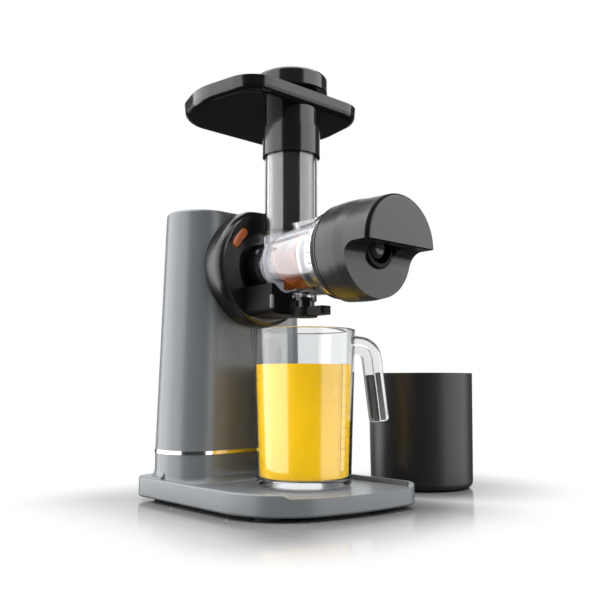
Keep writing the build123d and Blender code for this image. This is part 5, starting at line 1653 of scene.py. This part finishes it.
@dataclass
class Studio:
    """Pale floor, white surroundings and soft boxes on both sides of the camera."""

    camera_place: Triple = (0.547345, -0.483364, 0.116083)
    camera_azimuth: float = 137.865
    camera_pitch: float = 6.418
    lens: float = 44.88
    sensor_width: float = 36.0
    clip: Pair = (0.01, 50.0)
    floor_radius: float = 12.0
    floor_segments: int = 96
    floor_roughness: float = 0.10
    floor_smear: float = 0.2
    smear_roughness: float = 0.03
    # Grey of the floor near the base and cup, which paints a soft shade round them.
    shaded_floor_colour: Colour = (0.20, 0.20, 0.203)
    dim_floor: Colour = (0.06, 0.06, 0.06)
    base_middle: Triple = (-0.028, 0.0, 0.0)
    base_reach: Triple = (0.118, 0.088, 0.0)
    cup_middle: Triple = (-0.009, 0.208, 0.0)
    cup_reach: float = 0.058
    fade: float = 0.125
    boxes: tuple[SoftBox, ...] = (
        SoftBox(-128.0, -84.0, 3.3), SoftBox(-84.0, -38.0, 2.9), SoftBox(40.0, 112.0, 1.8),
        SoftBox(40.0, 112.0, 1.1, raised=True))
    box_heights: Pair = (-28.0, 56.0)
    box_edge: float = 3.0
    box_top_edge: float = 4.0
    raised_foot: Pair = (2.0, 14.0)
    dim_glow: float = 0.04
    sky_glow: float = 0.06
    sky_start: Pair = (0.0, 20.0)
    top_glow: float = 3.5
    top_start: Pair = (44.0, 54.0)
    back_glow: float = 0.85
    back_start: Pair = (146.0, 162.0)
    back_foot: Pair = (-8.0, -2.0)
    back_top: Pair = (65.0, 25.0)

    def build(self) -> None:
        """Lay the floor, light the studio and place the camera."""
        self.lay_floor()
        self.light()
        self.place_camera()
        bpy.context.scene.view_settings.view_transform = "Standard"

    def lay_floor(self) -> None:
        """A round floor that fades into the white surroundings; near the base and cup it is a
        darker grey that paints a soft shade round their footprints, over the real shadows and
        reflections.
        """
        disc = bmesh.new()
        bmesh.ops.create_circle(disc, cap_ends=True, segments=self.floor_segments,
                                radius=self.floor_radius)
        mesh = bpy.data.meshes.new("studio_floor")
        disc.to_mesh(mesh)
        disc.free()
        floor = bpy.data.objects.new("studio_floor", mesh)
        bpy.context.scene.collection.objects.link(floor)
        material = bpy.data.materials.new("studio_floor")
        graph = Graph(material)
        offset = graph.vector("SUBTRACT", graph.places(), self.base_middle)
        past = graph.vector("SUBTRACT", graph.vector("ABSOLUTE", offset), self.base_reach)
        outside = graph.vector("MAXIMUM", past, (0.0, 0.0, 0.0))
        from_base = graph.vector("LENGTH", outside, output="Value")
        from_cup = graph.vector("DISTANCE", graph.places(), self.cup_middle, output="Value")
        away = graph.maths("MINIMUM", from_base, from_cup - self.cup_reach)
        seen = graph.node("ShaderNodeLightPath", output="Is Camera Ray")
        smear = graph.noise(self.floor_smear) * self.smear_roughness
        # Painted shade: near the footprints the floor is darker grey, faded out by distance, on top
        # of real shadows; to other rays it is dim, so it sends back little light.
        near = graph.principled(base_color=graph.mix(self.dim_floor, self.shaded_floor_colour, seen),
                                roughness=self.floor_roughness + smear)
        open_air = graph.node("ShaderNodeBsdfTransparent")
        white = graph.node("ShaderNodeEmission")
        far = graph.blend(open_air, white, seen)
        graph.output(graph.blend(near, far, away.between(0.0, self.fade)))
        mesh.materials.append(material)

    def light(self) -> None:
        """Soft boxes painted on the far surroundings."""
        world = bpy.data.worlds.new("studio")
        bpy.context.scene.world = world
        graph = Graph(world)
        seen = graph.node("ShaderNodeLightPath", output="Is Camera Ray")
        lit, plain = (
            graph.node("ShaderNodeBackground", inputs={
                "Color": (1.0, 1.0, 1.0, 1.0), "Strength": strength})
            for strength in (self.glow(graph), 1.0))
        graph.output(graph.blend(lit, plain, seen))

    def glow(self, graph: Graph) -> Wire:
        """How bright the surroundings are in each direction.

        Args:
            graph: the world's tree.

        Returns:
            The strength.
        """
        way = graph.node("ShaderNodeTexCoord", output="Generated")
        front = math.radians(self.camera_azimuth + 180.0)
        axes = ((math.cos(front), math.sin(front), 0.0), (-math.sin(front), math.cos(front), 0.0),
                (0.0, 0.0, 1.0))
        forward, sideways, upward = (graph.vector("DOT_PRODUCT", way, axis, output="Value")
                                     for axis in axes)
        turn = graph.maths("ARCTAN2", sideways, forward) * (180 / math.pi)
        height = graph.maths("ARCSINE", upward) * (180 / math.pi)
        (low, high), edge, top_edge = self.box_heights, self.box_edge, self.box_top_edge
        upright = (height.between(low - edge, low + edge)
                   * height.between(high + top_edge, high - top_edge))
        behind = (graph.maths("ABSOLUTE", turn).between(*self.back_start)
                  * height.between(*self.back_foot))
        glow = self.dim_glow + height.between(*self.sky_start) * self.sky_glow
        glow = glow + height.between(*self.top_start) * self.top_glow
        glow = glow + behind * height.between(*self.back_top) * self.back_glow
        for box in self.boxes:
            across = (turn.between(box.start - edge, box.start + edge)
                      * turn.between(box.end + edge, box.end - edge))
            foot = height.between(*self.raised_foot) if box.raised else upright
            glow = glow + across * upright * foot * box.strength
        return glow

    def place_camera(self) -> None:
        """The camera, low in front of the drum's right side."""
        data = bpy.data.cameras.new("camera")
        data.lens, data.sensor_width = self.lens, self.sensor_width
        data.clip_start, data.clip_end = self.clip
        camera = bpy.data.objects.new("camera", data)
        azimuth, pitch = math.radians(self.camera_azimuth), math.radians(self.camera_pitch)
        level = math.cos(pitch)
        gaze = Vector((math.cos(azimuth) * level, math.sin(azimuth) * level, math.sin(pitch)))
        camera.location = self.camera_place
        camera.rotation_mode = "QUATERNION"
        camera.rotation_quaternion = gaze.to_track_quat("-Z", "Y")
        bpy.context.scene.collection.objects.link(camera)
        bpy.context.scene.camera = camera


def main() -> None:
    """Build and dress every sub-assembly."""
    logging.basicConfig(level=logging.INFO, format="%(message)s")
    Studio().build()
    base, tower, mount = Platform(), Tower(), DrumMount()
    for part in (base, tower, mount, JuiceJug()):
        part.build()
    for part in (base, tower, DriveTrain(), mount, Drum(), EndCap(), FeedTray(), PulpCup()):
        part.dress()


if __name__ == "__main__":
    main()
